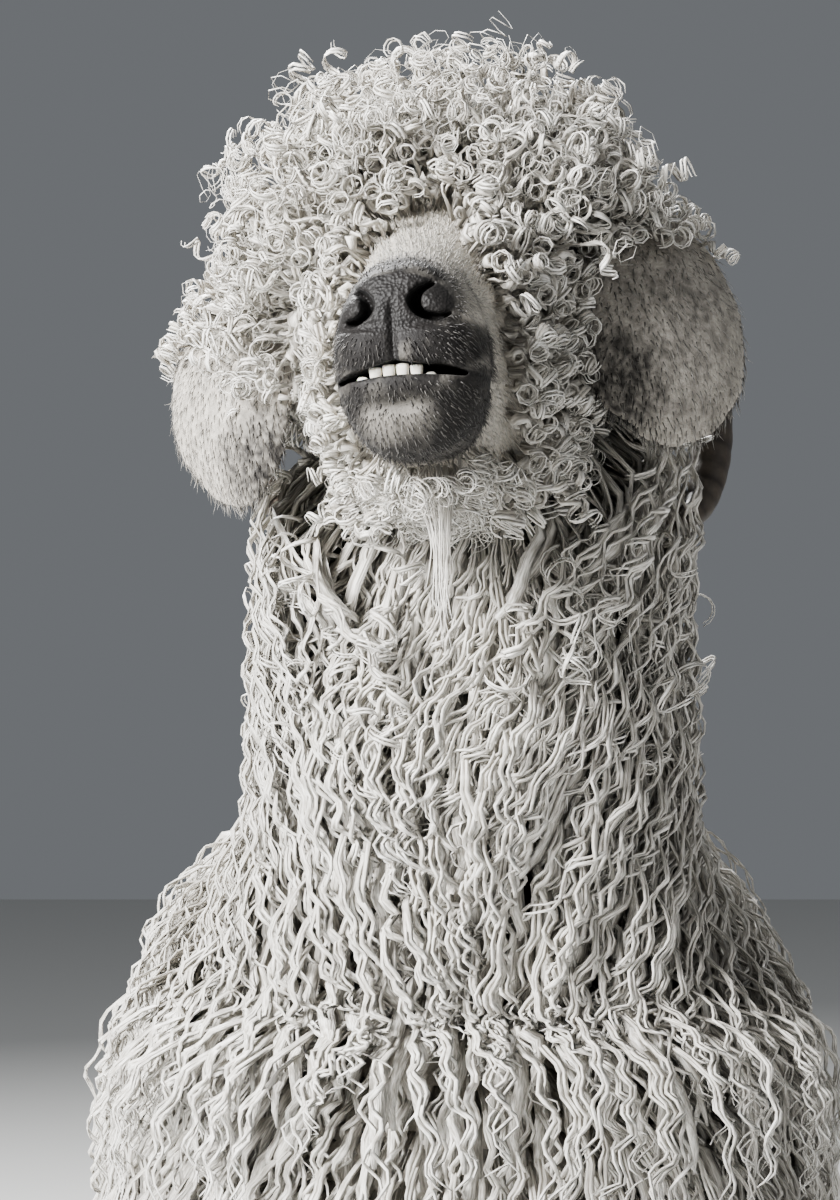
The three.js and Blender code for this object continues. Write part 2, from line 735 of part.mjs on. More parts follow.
function makeHead() {
  const skull = new Loft(SKULL, { power: [0.92, 0.9] }).solid(22, 17);
  const eyeWindows = [1, -1].map((side) => {
    const cone = new THREE.CylinderGeometry(30, 16, 60, 12);
    const look = EYE_LOOK.clone();
    look.x *= side;
    const at = new THREE.Vector3(side * 44, EYE_AT[1] - 2, EYE_AT[2]).addScaledVector(look, 30);
    const upright = new THREE.Matrix4().makeRotationX(Math.PI / 2);
    return solid(cone, turnedTo(look, at.toArray()).multiply(upright));
  });
  const mopCore = coreLofts.mop.solid(16, 10).subtract(joined(eyeWindows));
  const cuts = [
    ...[1, -1].flatMap((side) => [
      eyeball(side, GAP + 0.1), nostril(side), ear(side, GAP + 0.9), horn(side, GAP + 0.2),
    ]),
    mouthCut(),
    philtrum(),
  ];
  const whole = joined([skull, mopCore, lids(1), lids(-1), ...mopRinglets(), ...beard()]);
  return largest(within([neckPlane], whole.subtract(joined(cuts))));
}

function worldCutters() {
  return joined([1, -1].flatMap((side) => [ear(side, GAP + 0.9), horn(side, GAP + 0.2)])).transform(
    headPose.elements,
  );
}

function makeNeck() {
  const whole = joined([flesh, ...neckFleece()]);
  return largest(within(neckRegion, whole).subtract(worldCutters()));
}

function makeTorso() {
  const legSpace = joined(LEGS.map((leg) => regionSolid(leg.region)));
  const whole = joined([flesh, ...torsoFleece()]);
  return largest(within(torsoRegion, whole).subtract(legSpace));
}

function makeUpperLeg(leg) {
  const region = [...leg.region, new Side([0, 0, 1], [0, 0, kneeZ[leg.which]])];
  return largest(within(region, joined([flesh, ...legFleece(leg)])));
}

function makeLowerLeg(leg) {
  const region = [
    new Side([0, 0, -1], [0, 0, kneeZ[leg.which]]),
    new Side([0, 0, 1], [0, 0, HOOF_TOP]),
  ];
  const stations = legStations[leg.which];
  const rear = stations[8][1] + 19;
  const dewclaws = [-1, 1].map((off) => {
    const x = leg.side * stations[8][0] + off * 8;
    const rows = [
      [x, rear - 14, 84, 0, 0, 0],
      [x, rear - 8, 82, 6, 6, 6],
      [x, rear + 1, 74, 5, 5, 5],
      [x, rear + 3, 68, 0, 0, 0],
    ];
    return new Loft(rows).solid(5, 3);
  });
  return largest(within(region, joined([legLofts[leg.name].solid(8, 13), ...dewclaws])));
}

// One claw of a cloven hoof: flat sole, sloping front wall.
function claw(leg, off) {
  const stations = legStations[leg.which];
  const low = stations[stations.length - 2];
  const x = leg.side * low[0] + off * 10.6;
  const rows = [
    [x, low[1] - 8, -14, 0, 0, 0],
    [x, low[1] - 8, -8, 10.4, 26, 20],
    [x, low[1] - 6, 12, 10.2, 23, 19],
    [x, low[1] - 2, 34, 9.8, 17, 17],
    [x, low[1], 50, 9, 12, 12],
    [x, low[1], 56, 0, 0, 0],
  ];
  const body = new Loft(rows, { power: [1.25, 0.8] }).solid(10, 5);
  const region = [
    new Side([0, 0, 1], [0, 0, SOLE_Z - GAP / 2]),
    new Side([0, 0, -1], [0, 0, HOOF_TOP]),
  ];
  return within(region, body);
}

const COLOURS = {
  mohair: { color: 0xe9e5dc, roughness: 0.75 },
  muzzle: { color: 0xcfc9be, roughness: 0.7 },
  ear: { color: 0xb9b2a6, roughness: 0.8 },
  horn: { color: 0x6f675c, roughness: 0.5 },
  hoof: { color: 0x3a342e, roughness: 0.45 },
  eye: { color: 0x8a6a2e, roughness: 0.08 },
  tooth: { color: 0xece6d6, roughness: 0.3 },
  shank: { color: 0xded8cc, roughness: 0.8 },
};
const materials = Object.fromEntries(
  Object.entries(COLOURS).map(([name, look]) => [
    name,
    new THREE.MeshStandardMaterial({ ...look, metalness: 0 }),
  ]),
);

function meshOf(name, body, material) {
  const { numProp, vertProperties, triVerts, numVert } = body.getMesh();
  const places = new Float32Array(numVert * 3);
  for (let i = 0; i < numVert; i++) {
    places.set(vertProperties.subarray(i * numProp, i * numProp + 3), i * 3);
  }
  const geometry = new THREE.BufferGeometry();
  geometry.setAttribute("position", new THREE.BufferAttribute(places, 3));
  geometry.setIndex(new THREE.BufferAttribute(triVerts, 1));
  geometry.computeVertexNormals();
  const mesh = new THREE.Mesh(geometry, material);
  mesh.name = name;
  return mesh;
}

const goat = new THREE.Group();
goat.position.y = FRAME_SHIFT_Y;

const head = new THREE.Group();
head.applyMatrix4(headPose);
goat.add(head);
head.add(meshOf("head", makeHead(), materials.muzzle));
head.add(meshOf("incisors", incisors(), materials.tooth));
for (const [side, name] of [[1, "left"], [-1, "right"]]) {
  head.add(meshOf(`eye_${name}`, eyeball(side), materials.eye));
  const hornRoot = new Loft(SKULL, { power: [0.92, 0.9] }).solid(22, 17);
  const grownHorn = largest(horn(side).subtract(hornRoot.scale([1.006, 1.002, 1.006])));
  head.add(meshOf(`horn_${name}`, grownHorn, materials.horn));
  head.add(meshOf(`ear_${name}`, ear(side), materials.ear));
}

goat.add(meshOf("neck", makeNeck(), materials.mohair));
goat.add(meshOf("torso", makeTorso(), materials.mohair));
goat.add(meshOf("tail", largest(within(tailRegion, joined([tailCore, ...tailFleece()]))), materials.mohair));
for (const leg of LEGS) {
  goat.add(meshOf(leg.name, makeUpperLeg(leg), materials.mohair));
  goat.add(meshOf(leg.name.replace("leg", "shank"), makeLowerLeg(leg), materials.shank));
  for (const [off, name] of [[-leg.side, "inner"], [leg.side, "outer"]]) {
    goat.add(meshOf(`${leg.name.replace("leg", "hoof")}_${name}`, claw(leg, off), materials.hoof));
  }
}

export default goat;
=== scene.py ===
"""The looks of a life-size Angora goat doe in full curly fleece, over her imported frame."""

import math

import bmesh
import bpy
import numpy as np
from mathutils import Matrix, Vector
from mathutils.bvhtree import BVHTree


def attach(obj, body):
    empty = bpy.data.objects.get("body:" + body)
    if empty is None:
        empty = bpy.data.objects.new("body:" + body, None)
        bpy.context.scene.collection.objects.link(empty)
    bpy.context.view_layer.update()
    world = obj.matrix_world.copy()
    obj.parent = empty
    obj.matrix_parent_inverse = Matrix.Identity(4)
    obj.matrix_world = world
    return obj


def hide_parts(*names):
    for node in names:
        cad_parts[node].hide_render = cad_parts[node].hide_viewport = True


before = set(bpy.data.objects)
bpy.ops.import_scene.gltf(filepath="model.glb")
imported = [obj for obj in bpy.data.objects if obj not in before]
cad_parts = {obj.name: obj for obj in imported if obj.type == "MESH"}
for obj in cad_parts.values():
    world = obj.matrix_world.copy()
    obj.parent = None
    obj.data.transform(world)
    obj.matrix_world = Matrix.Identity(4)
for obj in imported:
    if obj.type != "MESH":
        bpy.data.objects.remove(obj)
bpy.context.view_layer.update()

# Driving dimensions, in millimetres. She faces -Y, and +X is her left side.
MM = 0.001
FRAME_SHIFT_Y = 59  # puts the origin under the middle of the whole outline
MUZZLE = (-27, -524, 797)  # front of the mouth line
HEAD_YAW = -7  # degrees, muzzle turned to her right
HEAD_ROLL = -4
FLEECE_SIDE = 58  # depth of the fleece on the flanks
FLEECE_BACK = 50
FLEECE_BELLY = 74
NECK_WOOL = 42
MOP_WOOL = 54  # depth of the ringlets on the poll
LEG_WOOL = 44
TAIL_WOOL = 20.0
EAR_WOOL = 15.0  # depth of the curls that hang over the roots of the ears
HOOF_TOP = 41
KNEE_Z = 236
HOCK_Z = 252
EYE_RADIUS = 13.5
EYE_AT = (37, 142, 48)
EYE_LOOK = Vector((0.9, -0.38, 0.16)).normalized()
HEAD_VOXEL = 0.8
NOSE_MIDDLE = -4  # her nose and teeth sit a little to the right of the middle
BODY_VOXEL = 5.0
MOST_TRIANGLES = 190000  # in one piece of the coat

rng = np.random.default_rng(11)

# Spines of the body's lofts: a point, then the half sizes across, above and below it.
SKULL = [
    (0, 228, 38, 0, 0, 0), (0, 216, 36, 34, 36, 42), (0, 190, 30, 50, 60, 72), (0, 160, 22, 54, 72, 72),
    (0, 135, 18, 50, 62, 64), (0, 105, 12, 39, 54, 54), (0, 75, 8, 30, 48, 46), (0, 45, 5, 26.5, 43, 40),
    (0, 22, 4, 28.5, 39, 37), (0, 8, 3.5, 26, 33.5, 31.5), (0, 0, 3, 18, 23, 21), (0, -4, 3, 0, 0, 0),
]
MOP_SKIN = [
    (0, 236, 28, 0, 0, 0), (0, 226, 30, 28, 38, 36), (0, 205, 38, 52, 58, 54), (0, 178, 42, 60, 66, 60),
    (0, 150, 46, 58, 60, 58), (0, 126, 52, 44, 38, 42), (0, 108, 58, 24, 17, 20), (0, 100, 59, 0, 0, 0),
]
EAR_LEFT = [
    (48, 188, 66, 0, 0, 0), (56, 186, 70, 10, 5, 5), (70, 178, 72, 18, 4.2, 4.2), (84, 163, 58, 31, 2.6, 2.6),
    (90, 148, 32, 39, 2.1, 2.1), (90, 138, 4, 38, 1.9, 1.9), (86, 134, -18, 24, 1.7, 1.7),
    (82, 133, -31, 0, 0, 0),
]
EAR_RIGHT = [
    (-48, 188, 66, 0, 0, 0), (-56, 186, 70, 10, 5, 5), (-70, 180, 68, 18, 4.2, 4.2),
    (-86, 166, 50, 28, 2.6, 2.6), (-95, 152, 22, 34, 2.1, 2.1), (-94, 142, -6, 32, 1.9, 1.9),
    (-87, 138, -30, 19, 1.7, 1.7), (-82, 137, -42, 0, 0, 0),
]
HORN_BASE = [
    (18, 176, 78, 0, 0, 0), (21, 180, 88, 15, 18, 16), (30, 198, 104, 14, 17, 15), (46, 226, 112, 13, 15, 14),
    (66, 250, 98, 12, 13.5, 12.5), (86, 258, 60, 11, 12.5, 11.5),
]
HORN_LEFT = HORN_BASE + [
    (99, 250, 12, 10, 11.5, 10.5), (101, 232, -26, 8.5, 9.5, 9), (94, 214, -50, 6.5, 7, 6.5),
    (83, 199, -58, 4.2, 4.5, 4.2), (76, 191, -57, 0, 0, 0),
]
HORN_RIGHT = HORN_BASE + [
    (96, 252, 20, 10, 11.5, 10.5), (96, 237, -12, 8.5, 9.5, 9), (90, 221, -32, 6.5, 7, 6.5),
    (81, 208, -40, 4.2, 4.5, 4.2), (75, 201, -40, 0, 0, 0),
]
NECK = [
    (0, -170, 420, 0, 0, 0), (0, -190, 460, 84, 118, 112), (0, -228, 540, 68, 92, 92),
    (0, -270, 620, 54, 68, 66), (0, -308, 700, 48, 57, 54), (0, -336, 776, 46, 52, 52),
    (0, -352, 824, 42, 46, 46), (0, -360, 846, 0, 0, 0),
]
TORSO = [
    (0, 342, 478, 0, 0, 0), (0, 330, 476, 62, 74, 62), (0, 272, 464, 108, 122, 108),
    (0, 180, 450, 119, 142, 120), (0, 60, 436, 131, 158, 132), (0, -80, 436, 127, 164, 134),
    (0, -200, 446, 110, 162, 136), (0, -286, 444, 88, 116, 116), (0, -330, 434, 54, 66, 78),
    (0, -344, 430, 0, 0, 0),
]
FORE_LEG = [
    (74, -180, 448, 0, 0, 0), (76, -184, 400, 34, 52, 50), (78, -184, 340, 29, 40, 42),
    (79, -188, 284, 23, 28, 28), (78, -193, 226, 20, 21, 19.5), (78, -189, 188, 14.5, 15, 15),
    (78, -188, 150, 12, 12.5, 13.5), (78, -189, 110, 13, 13.5, 14.5), (78, -191, 84, 16, 16.5, 18),
    (78, -201, 56, 15, 15, 16), (78, -208, 36, 16, 16, 15), (78, -211, 28, 0, 0, 0),
]
HIND_LEG = [
    (88, 222, 540, 0, 0, 0), (96, 222, 480, 46, 74, 80), (101, 214, 410, 44, 82, 80),
    (100, 216, 352, 36, 62, 60), (94, 246, 298, 25, 35, 33), (88, 284, 246, 17, 21, 27),
    (87, 292, 214, 14.5, 17, 20), (87, 292, 160, 12.5, 13, 15), (87, 289, 112, 13.5, 14, 15.5),
    (87, 287, 86, 16, 17, 18.5), (87, 276, 56, 15, 15.5, 16), (87, 269, 36, 16, 16, 15),
    (87, 266, 28, 0, 0, 0),
]
TAIL = [
    (0, 300, 556, 0, 0, 0), (0, 322, 568, 16, 14, 14), (0, 352, 592, 14, 12, 12), (0, 372, 626, 12, 10, 10),
    (0, 378, 656, 8, 7, 7), (0, 378, 668, 0, 0, 0),
]

head_pose = (
    Matrix.Translation(MUZZLE)
    @ Matrix.Rotation(math.radians(HEAD_YAW), 4, "Z")
    @ Matrix.Rotation(math.radians(HEAD_ROLL), 4, "Y")
)
to_world = Matrix.Scale(MM, 4) @ Matrix.Translation((0, FRAME_SHIFT_Y, 0))
BODY_PLACE = np.array(to_world)
HEAD_PLACE = np.array(to_world @ head_pose)


def placed(points, place):
    """Points in millimetres of their own frame, in metres of the room."""
    return points @ place[:3, :3].T + place[:3, 3]


def unit(vectors):
    return vectors / np.maximum(np.linalg.norm(vectors, axis=-1, keepdims=True), 1e-9)


def smoothstep(values, low, high):
    t = np.clip((values - low) / (high - low), 0, 1)
    return t * t * (3 - 2 * t)


def mirrored(stations):
    return [(-s[0], *s[1:]) for s in stations]


class Loft:
    """A closed body along a spine, with rings of ellipses."""

    def __init__(self, stations, across=(1, 0, 0), across_end=None, power=(1, 1), cup=0.0):
        table = np.array(stations, float)
        self.spine = table[:, :3]
        self.sizes = table[:, 3:]
        self.across = np.array(across, float)
        self.across_end = np.array(across if across_end is None else across_end, float)
        self.power = power
        self.cup = cup

    def curve(self, points, v):
        """A centripetal Catmull-Rom curve through the points."""
        last = len(points) - 1
        place = np.clip(v, 0, 1) * last
        i = np.minimum(place.astype(int), last - 1)
        t = (place - i)[..., None]
        ends = np.vstack([2 * points[0] - points[1], points, 2 * points[-1] - points[-2]])
        p0, p1, p2, p3 = (ends[i + k] for k in range(4))
        gaps = [np.sqrt(np.linalg.norm(b - a, axis=-1))[..., None] for a, b in ((p0, p1), (p1, p2), (p2, p3))]
        d1 = np.where(gaps[1] < 1e-4, 1, gaps[1])
        d0 = np.where(gaps[0] < 1e-4, d1, gaps[0])
        d2 = np.where(gaps[2] < 1e-4, d1, gaps[2])
        m1 = ((p1 - p0) / d0 - (p2 - p0) / (d0 + d1) + (p2 - p1) / d1) * d1
        m2 = ((p2 - p1) / d1 - (p3 - p1) / (d1 + d2) + (p3 - p2) / d2) * d1
        rise = p2 - p1
        return p1 + m1 * t + (3 * rise - 2 * m1 - m2) * t**2 + (m1 + m2 - 2 * rise) * t**3

    def point(self, u, v):
        step = 1e-4
        along = unit(self.curve(self.spine, v + step) - self.curve(self.spine, v - step))
        across = self.across + (self.across_end - self.across) * v[..., None]
        dorsal = unit(np.cross(along, across))
        lateral = unit(np.cross(dorsal, along))
        size = np.maximum(self.curve(self.sizes, v), 0)
        c, s = np.cos(2 * np.pi * u), np.sin(2 * np.pi * u)
        power = np.where(s > 0, self.power[0], self.power[1])
        out = size[..., 0] * np.sign(c) * np.abs(c) ** power
        half = np.where(s > 0, size[..., 1], size[..., 2])
        up = half * np.sign(s) * np.abs(s) ** power - self.cup * size[..., 0] * c * c
        return self.curve(self.spine, v) + lateral * out[..., None] + dorsal * up[..., None]

    def mesh(self, sides, steps):
        """Points and faces of the closed body."""
        u, v = np.meshgrid(np.arange(sides) / sides, np.linspace(0, 1, steps + 1)[1:-1])
        rings = self.point(u, v)
        points = [rings.reshape(-1, 3), self.spine[:1], self.spine[-1:]]
        count = rings.shape[0] * sides
        faces = []
        for row in range(rings.shape[0] - 1):
            for k in range(sides):
                a, b = row * sides + k, row * sides + (k + 1) % sides
                faces.append((a, b, b + sides, a + sides))
        for k in range(sides):
            faces.append((count, (k + 1) % sides, k))
            top = count - sides
            faces.append((count + 1, top + k, top + (k + 1) % sides))
        return np.vstack(points), faces

    def roots(self, spacing_along, spacing_round, low=0.02, high=0.98):
        """Root places (u, v), spread evenly over the surface with a little disorder."""
        v = np.linspace(low, high, 240)
        lines = np.stack([self.point(np.full(len(v), u), v) for u in (0, 0.25, 0.5, 0.75)])
        run = np.concatenate([[0], np.cumsum(np.linalg.norm(np.diff(lines, axis=1), axis=2).max(axis=0))])
        rows = np.interp(np.arange(spacing_along / 2, run[-1], spacing_along), run, v)
        found = []
        for index, at in enumerate(rows):
            ring = np.linspace(0, 1, 49)
            places = self.point(ring, np.full(49, at))
            reach = np.concatenate([[0], np.cumsum(np.linalg.norm(np.diff(places, axis=0), axis=1))])
            count = max(int(reach[-1] / spacing_round), 1)
            even = (np.arange(count) + 0.5 * (index % 2) + rng.uniform(-0.35, 0.35, count)) / count % 1
            u = np.interp(even * reach[-1], reach, ring)
            ahead = np.interp(at, v, run) + rng.uniform(-0.35, 0.35, count) * spacing_along
            found.append(np.stack([u, np.interp(ahead, run, v)], axis=1))
        return np.vstack(found)


def object_of(name, points, faces):
    mesh = bpy.data.meshes.new(name)
    mesh.from_pydata(np.asarray(points).tolist(), [], faces)
    mesh.validate()
    made = bpy.data.objects.new(name, mesh)
    bpy.context.scene.collection.objects.link(made)
    return made


def fused(name, parts):
    """One object of several closed bodies, which still overlap."""
    points, faces, start = [], [], 0
    for part_points, part_faces in parts:
        points.append(part_points)
        faces += [tuple(i + start for i in face) for face in part_faces]
        start += len(part_points)
    return object_of(name, np.vstack(points), faces)


def shaped(made, kind, **settings):
    """Runs one modifier on an object and keeps its result."""
    modifier = made.modifiers.new(kind, kind)
    for key, value in settings.items():
        setattr(modifier, key, value)
    result = bpy.data.meshes.new_from_object(made.evaluated_get(bpy.context.evaluated_depsgraph_get()))
    made.modifiers.clear()
    made.data = result
    return made


def coordinates(made):
    flat = np.empty(len(made.data.vertices) * 3)
    made.data.vertices.foreach_get("co", flat)
    return flat.reshape(-1, 3)


def normals(made):
    flat = np.empty(len(made.data.vertices) * 3)
    made.data.vertices.foreach_get("normal", flat)
    return flat.reshape(-1, 3)


def set_coordinates(made, points):
    made.data.vertices.foreach_set("co", points.ravel())
    made.data.update()


# Lofts of the living body, the same as in the frame but without the depth of the coat.
BROW = (0.92, 0.9)
ears = {
    1: Loft(EAR_LEFT, (0.35, 0.8, 0.2), (0.86, 0.3, 0.35), cup=0.3),
    -1: Loft(EAR_RIGHT, (-0.35, 0.8, 0.2), (-0.86, 0.3, 0.35), cup=-0.3),
}
skull = Loft(SKULL, power=BROW)
mop = Loft(MOP_SKIN)
neck = Loft(NECK)
torso = Loft(TORSO, power=(1.1, 0.86))
tail = Loft(TAIL)
legs = {}
for which, stations in (("fore", FORE_LEG), ("hind", HIND_LEG)):
    for side, word in ((1, "left"), (-1, "right")):
        legs[f"{which}_{word}"] = Loft(stations if side > 0 else mirrored(stations))


def ball(at, radius, sides=24, rings=16):
    reach = [(at[0], at[1] - radius * math.cos(math.pi * i / rings), at[2]) for i in range(rings + 1)]
    table = [(*place, *([radius * math.sin(math.pi * i / rings)] * 3)) for i, place in enumerate(reach)]
    return Loft(table).mesh(sides, rings * 2)


def eye_place(side):
    return Vector((side * EYE_AT[0], EYE_AT[1], EYE_AT[2]))


def eye_look(side):
    return Vector((side * EYE_LOOK.x, EYE_LOOK.y, EYE_LOOK.z))


LID_HALF = (13.2, 9.6)  # the opening between the lids, half its length and half its height
LID_THICK = 3.4
LID_SIDES = (36, 10)


def lid_ring(side):
    """The two lids as one soft ring, narrower than it is long."""
    look = eye_look(side)
    turn = look.to_track_quat("Z", "Y").to_matrix()
    centre = eye_place(side) + look * 5.5
    round_eye, round_lid = LID_SIDES
    points, faces = [], []
    for i in range(round_eye):
        angle = 2 * math.pi * i / round_eye
        across = LID_HALF[0] * math.cos(angle)
        out = Vector((across, LID_HALF[1] * math.sin(angle), -0.028 * across**2))
        for k in range(round_lid):
            about = 2 * math.pi * k / round_lid
            radial = Vector((math.cos(angle), math.sin(angle), 0)) * (LID_THICK * math.cos(about))
            lift = Vector((0, 0, LID_THICK * math.sin(about)))
            points.append(centre + turn @ (out + radial + lift))
    for i in range(round_eye):
        for k in range(round_lid):
            a, b = i * round_lid + k, i * round_lid + (k + 1) % round_lid
            after = (i + 1) % round_eye * round_lid
            faces.append((a, b, after + (k + 1) % round_lid, after + k))
    return np.array(points), faces


def nose_middle(y):
    return NOSE_MIDDLE * (1 - smoothstep(y, 8, 50))


NOSE_WING = (14.6, 23.5)  # middle of the fleshy wing that a nostril curls round
MOUTH_CORNERS = (-33, 31)
MOUTH_STEPS = 64


def nostril_body(side):
    """The hollow of a nostril: a comma, round on the inside and drawn out below the wing."""
    x, z = NOSE_WING
    bend = [
        (3.5, 7.4, 0), (0.2, 6.8, 1.1), (-3.8, 5.0, 2.0), (-6.0, 1.4, 2.7), (-4.4, -2.8, 2.0),
        (0.4, -4.6, 1.4), (5.6, -4.4, 1.0), (10.5, -2.8, 0),
    ]
    rows = [(NOSE_MIDDLE + side * (x + a), 1.5, z + b, 10 if r else 0, r, r) for a, b, r in bend]
    return Loft(rows, across=(0, 1, 0)).mesh(20, 40)


def lip_edges(x):
    """Heights of the upper and the lower lip's edge: parted in the middle, closed at the corners."""
    away = x - NOSE_MIDDLE * 0.6
    upper = 2.9 - 0.0085 * away**2
    lower = -1.7 - 0.003 * away**2
    middle, half = (upper + lower) / 2, np.maximum((upper - lower) / 2, 0.2)
    return middle + half, middle - half


def mouth_body():
    """The gap between the lips, back to the closed corners."""
    places = np.linspace(*MOUTH_CORNERS, MOUTH_STEPS + 1)
    upper, lower = lip_edges(places)
    points, faces = [], []
    for x, high, low in zip(places, upper, lower):
        back = 12 + 0.034 * (x - NOSE_MIDDLE * 0.6) ** 2
        middle, half = (high + low) / 2, (high - low) / 2
        for y, share in ((-20, 1.6), (back * 0.7, 1), (back, 0.3)):
            points += [(x, y, middle + half * share), (x, y, middle - half * share)]
    for a in range(0, MOUTH_STEPS * 6, 6):
        b = a + 6
        for j in (0, 2):
            faces += [(a + j, a + j + 2, b + j + 2, b + j), (a + j + 1, b + j + 1, b + j + 3, a + j + 3)]
        faces += [(a, b, b + 1, a + 1), (a + 4, a + 5, b + 5, b + 4)]
    for a in (0, MOUTH_STEPS * 6):
        faces += [(a, a + 1, a + 3, a + 2), (a + 2, a + 3, a + 5, a + 4)]
    return np.array(points, float), faces


def facing_out(made):
    shape = bmesh.new()
    shape.from_mesh(made.data)
    bmesh.ops.recalc_face_normals(shape, faces=shape.faces)
    shape.to_mesh(made.data)
    shape.free()
    return made


def carved(made, parts):
    cutter = facing_out(fused("cutter", parts))
    shaped(made, "BOOLEAN", operation="DIFFERENCE", object=cutter, solver="EXACT", use_self=True)
    bpy.data.objects.remove(cutter)
    return made


def bump_at(points, centre, radii):
    """A soft hump of height 1 round a centre, as an ellipsoid that fades to nothing at its edge."""
    away = ((points - np.array(centre)) / np.array(radii)) ** 2
    return np.clip(1 - away.sum(axis=1), 0, 1) ** 1.5


def sculpted(made):
    """Lips, nose pad, chin and the hollows of the face, pushed along the surface."""
    points, out = coordinates(made), normals(made)
    x, y, z = points.T
    own = points - np.stack([nose_middle(y), 0 * y, 0 * y], -1)
    front = 1 - smoothstep(y, 14, 26)
    philtrum = np.exp(-((own[:, 0] / 1.2) ** 2)) * front
    push = -1.7 * philtrum * smoothstep(z, 2, 5) * (1 - smoothstep(z, 21, 27))
    for mirror in (1, -1):
        wing = (mirror * NOSE_WING[0], 2, NOSE_WING[1])
        push += 2.4 * bump_at(own, (mirror * 12, 0, 9), (13, 16, 9))
        push += 0.7 * bump_at(own, (wing[0] + mirror * 1.6, wing[1], wing[2] + 0.2), (7.4, 14, 5.6))
        push += 1.5 * bump_at(own, (mirror * 9, 4, 36), (13, 14, 6))
        push -= 1.3 * bump_at(own, (mirror * 16, 4, 16.3), (15, 16, 2.4))
        push -= 2.0 * bump_at(points, (mirror * 32, 66, 20), (12, 26, 16))
        fold = np.abs(x) > 24
        crease = np.exp(-(((z + 6 + 0.16 * (y - 30)) / 1.7) ** 2)) * smoothstep(y, 26, 34)
        push -= 0.9 * crease * (1 - smoothstep(y, 48, 66)) * fold
    push += 1.8 * bump_at(own, (0, 2, -6), (26, 18, 5))
    push -= 1.4 * bump_at(own, (0, 2, -12.5), (24, 20, 4))
    push += 2.6 * bump_at(own, (0, 8, -24), (24, 22, 12))
    push -= 1.6 * bump_at(own, (0, 22, -38), (30, 10, 6))
    set_coordinates(made, points + out * push[:, None])
    return made


def thinned(made, chosen, ratio):
    """Fewer faces where the chosen points are."""
    group = made.vertex_groups.new(name="thin")
    group.add([int(i) for i in np.flatnonzero(chosen)], 1.0, "REPLACE")
    shaped(made, "DECIMATE", ratio=ratio, vertex_group="thin", vertex_group_factor=1.0)
    made.vertex_groups.clear()
    return made


def made_head():
    parts = [skull.mesh(64, 60), mop.mesh(48, 40)]
    parts += [lid_ring(1), lid_ring(-1), ears[1].mesh(40, 48), ears[-1].mesh(40, 48)]
    made = fused("head_skin", parts)
    shaped(made, "REMESH", mode="VOXEL", voxel_size=HEAD_VOXEL * 1.7)
    shaped(made, "SMOOTH", factor=0.5, iterations=3)
    cuts = [nostril_body(1), nostril_body(-1), mouth_body()]
    cuts += [ball(eye_place(side), EYE_RADIUS + 0.5) for side in (1, -1)]
    carved(made, cuts)
    shaped(made, "REMESH", mode="VOXEL", voxel_size=HEAD_VOXEL)
    shaped(made, "SMOOTH", factor=0.5, iterations=3)
    sculpted(made)
    thinned(made, coordinates(made)[:, 1] > 70, 0.3)
    set_coordinates(made, placed(coordinates(made), HEAD_PLACE))
    return made


def made_body():
    parts = [torso.mesh(48, 60), neck.mesh(40, 40), tail.mesh(20, 24)]
    parts += [leg.mesh(28, 60) for leg in legs.values()]
    made = fused("goat_skin", parts)
    shaped(made, "REMESH", mode="VOXEL", voxel_size=BODY_VOXEL)
    shaped(made, "SMOOTH", factor=0.5, iterations=8)
    set_coordinates(made, placed(coordinates(made), BODY_PLACE))
    return made


skin = made_body()
head_skin = made_head()
shaped(skin, "BOOLEAN", operation="UNION", object=head_skin, solver="EXACT", use_self=False)
bpy.data.objects.remove(head_skin)
skin.data.shade_smooth()
skin_tree = BVHTree.FromObject(skin, bpy.context.evaluated_depsgraph_get())


def nearest(points):
    """The nearest place on the skin to each point, its outward normal and how far it is."""
    places, outs, gaps = [], [], []
    for point in points:
        place, out, _, gap = skin_tree.find_nearest(point)
        places.append(place)
        outs.append(out)
        gaps.append(gap)
    return np.array(places), np.array(outs), np.array(gaps)


HEAD_BACK = np.array((to_world @ head_pose).inverted())


def head_frame(points):
    """Points of the room in the head's own millimetres."""
    return placed(points, HEAD_BACK)


# Middle of each ear, how grey it is, and the middle and size of its darker spot. Both ears are freckled grey;
# her left ear is greyer than her right as painted shade, since that side of her head lies in shade.
EAR_MARKS = [((90, 148, 20), 0.4, (66, 142, -2), 32), ((-94, 146, 5), 0.28, (-76, 141, -20), 26)]


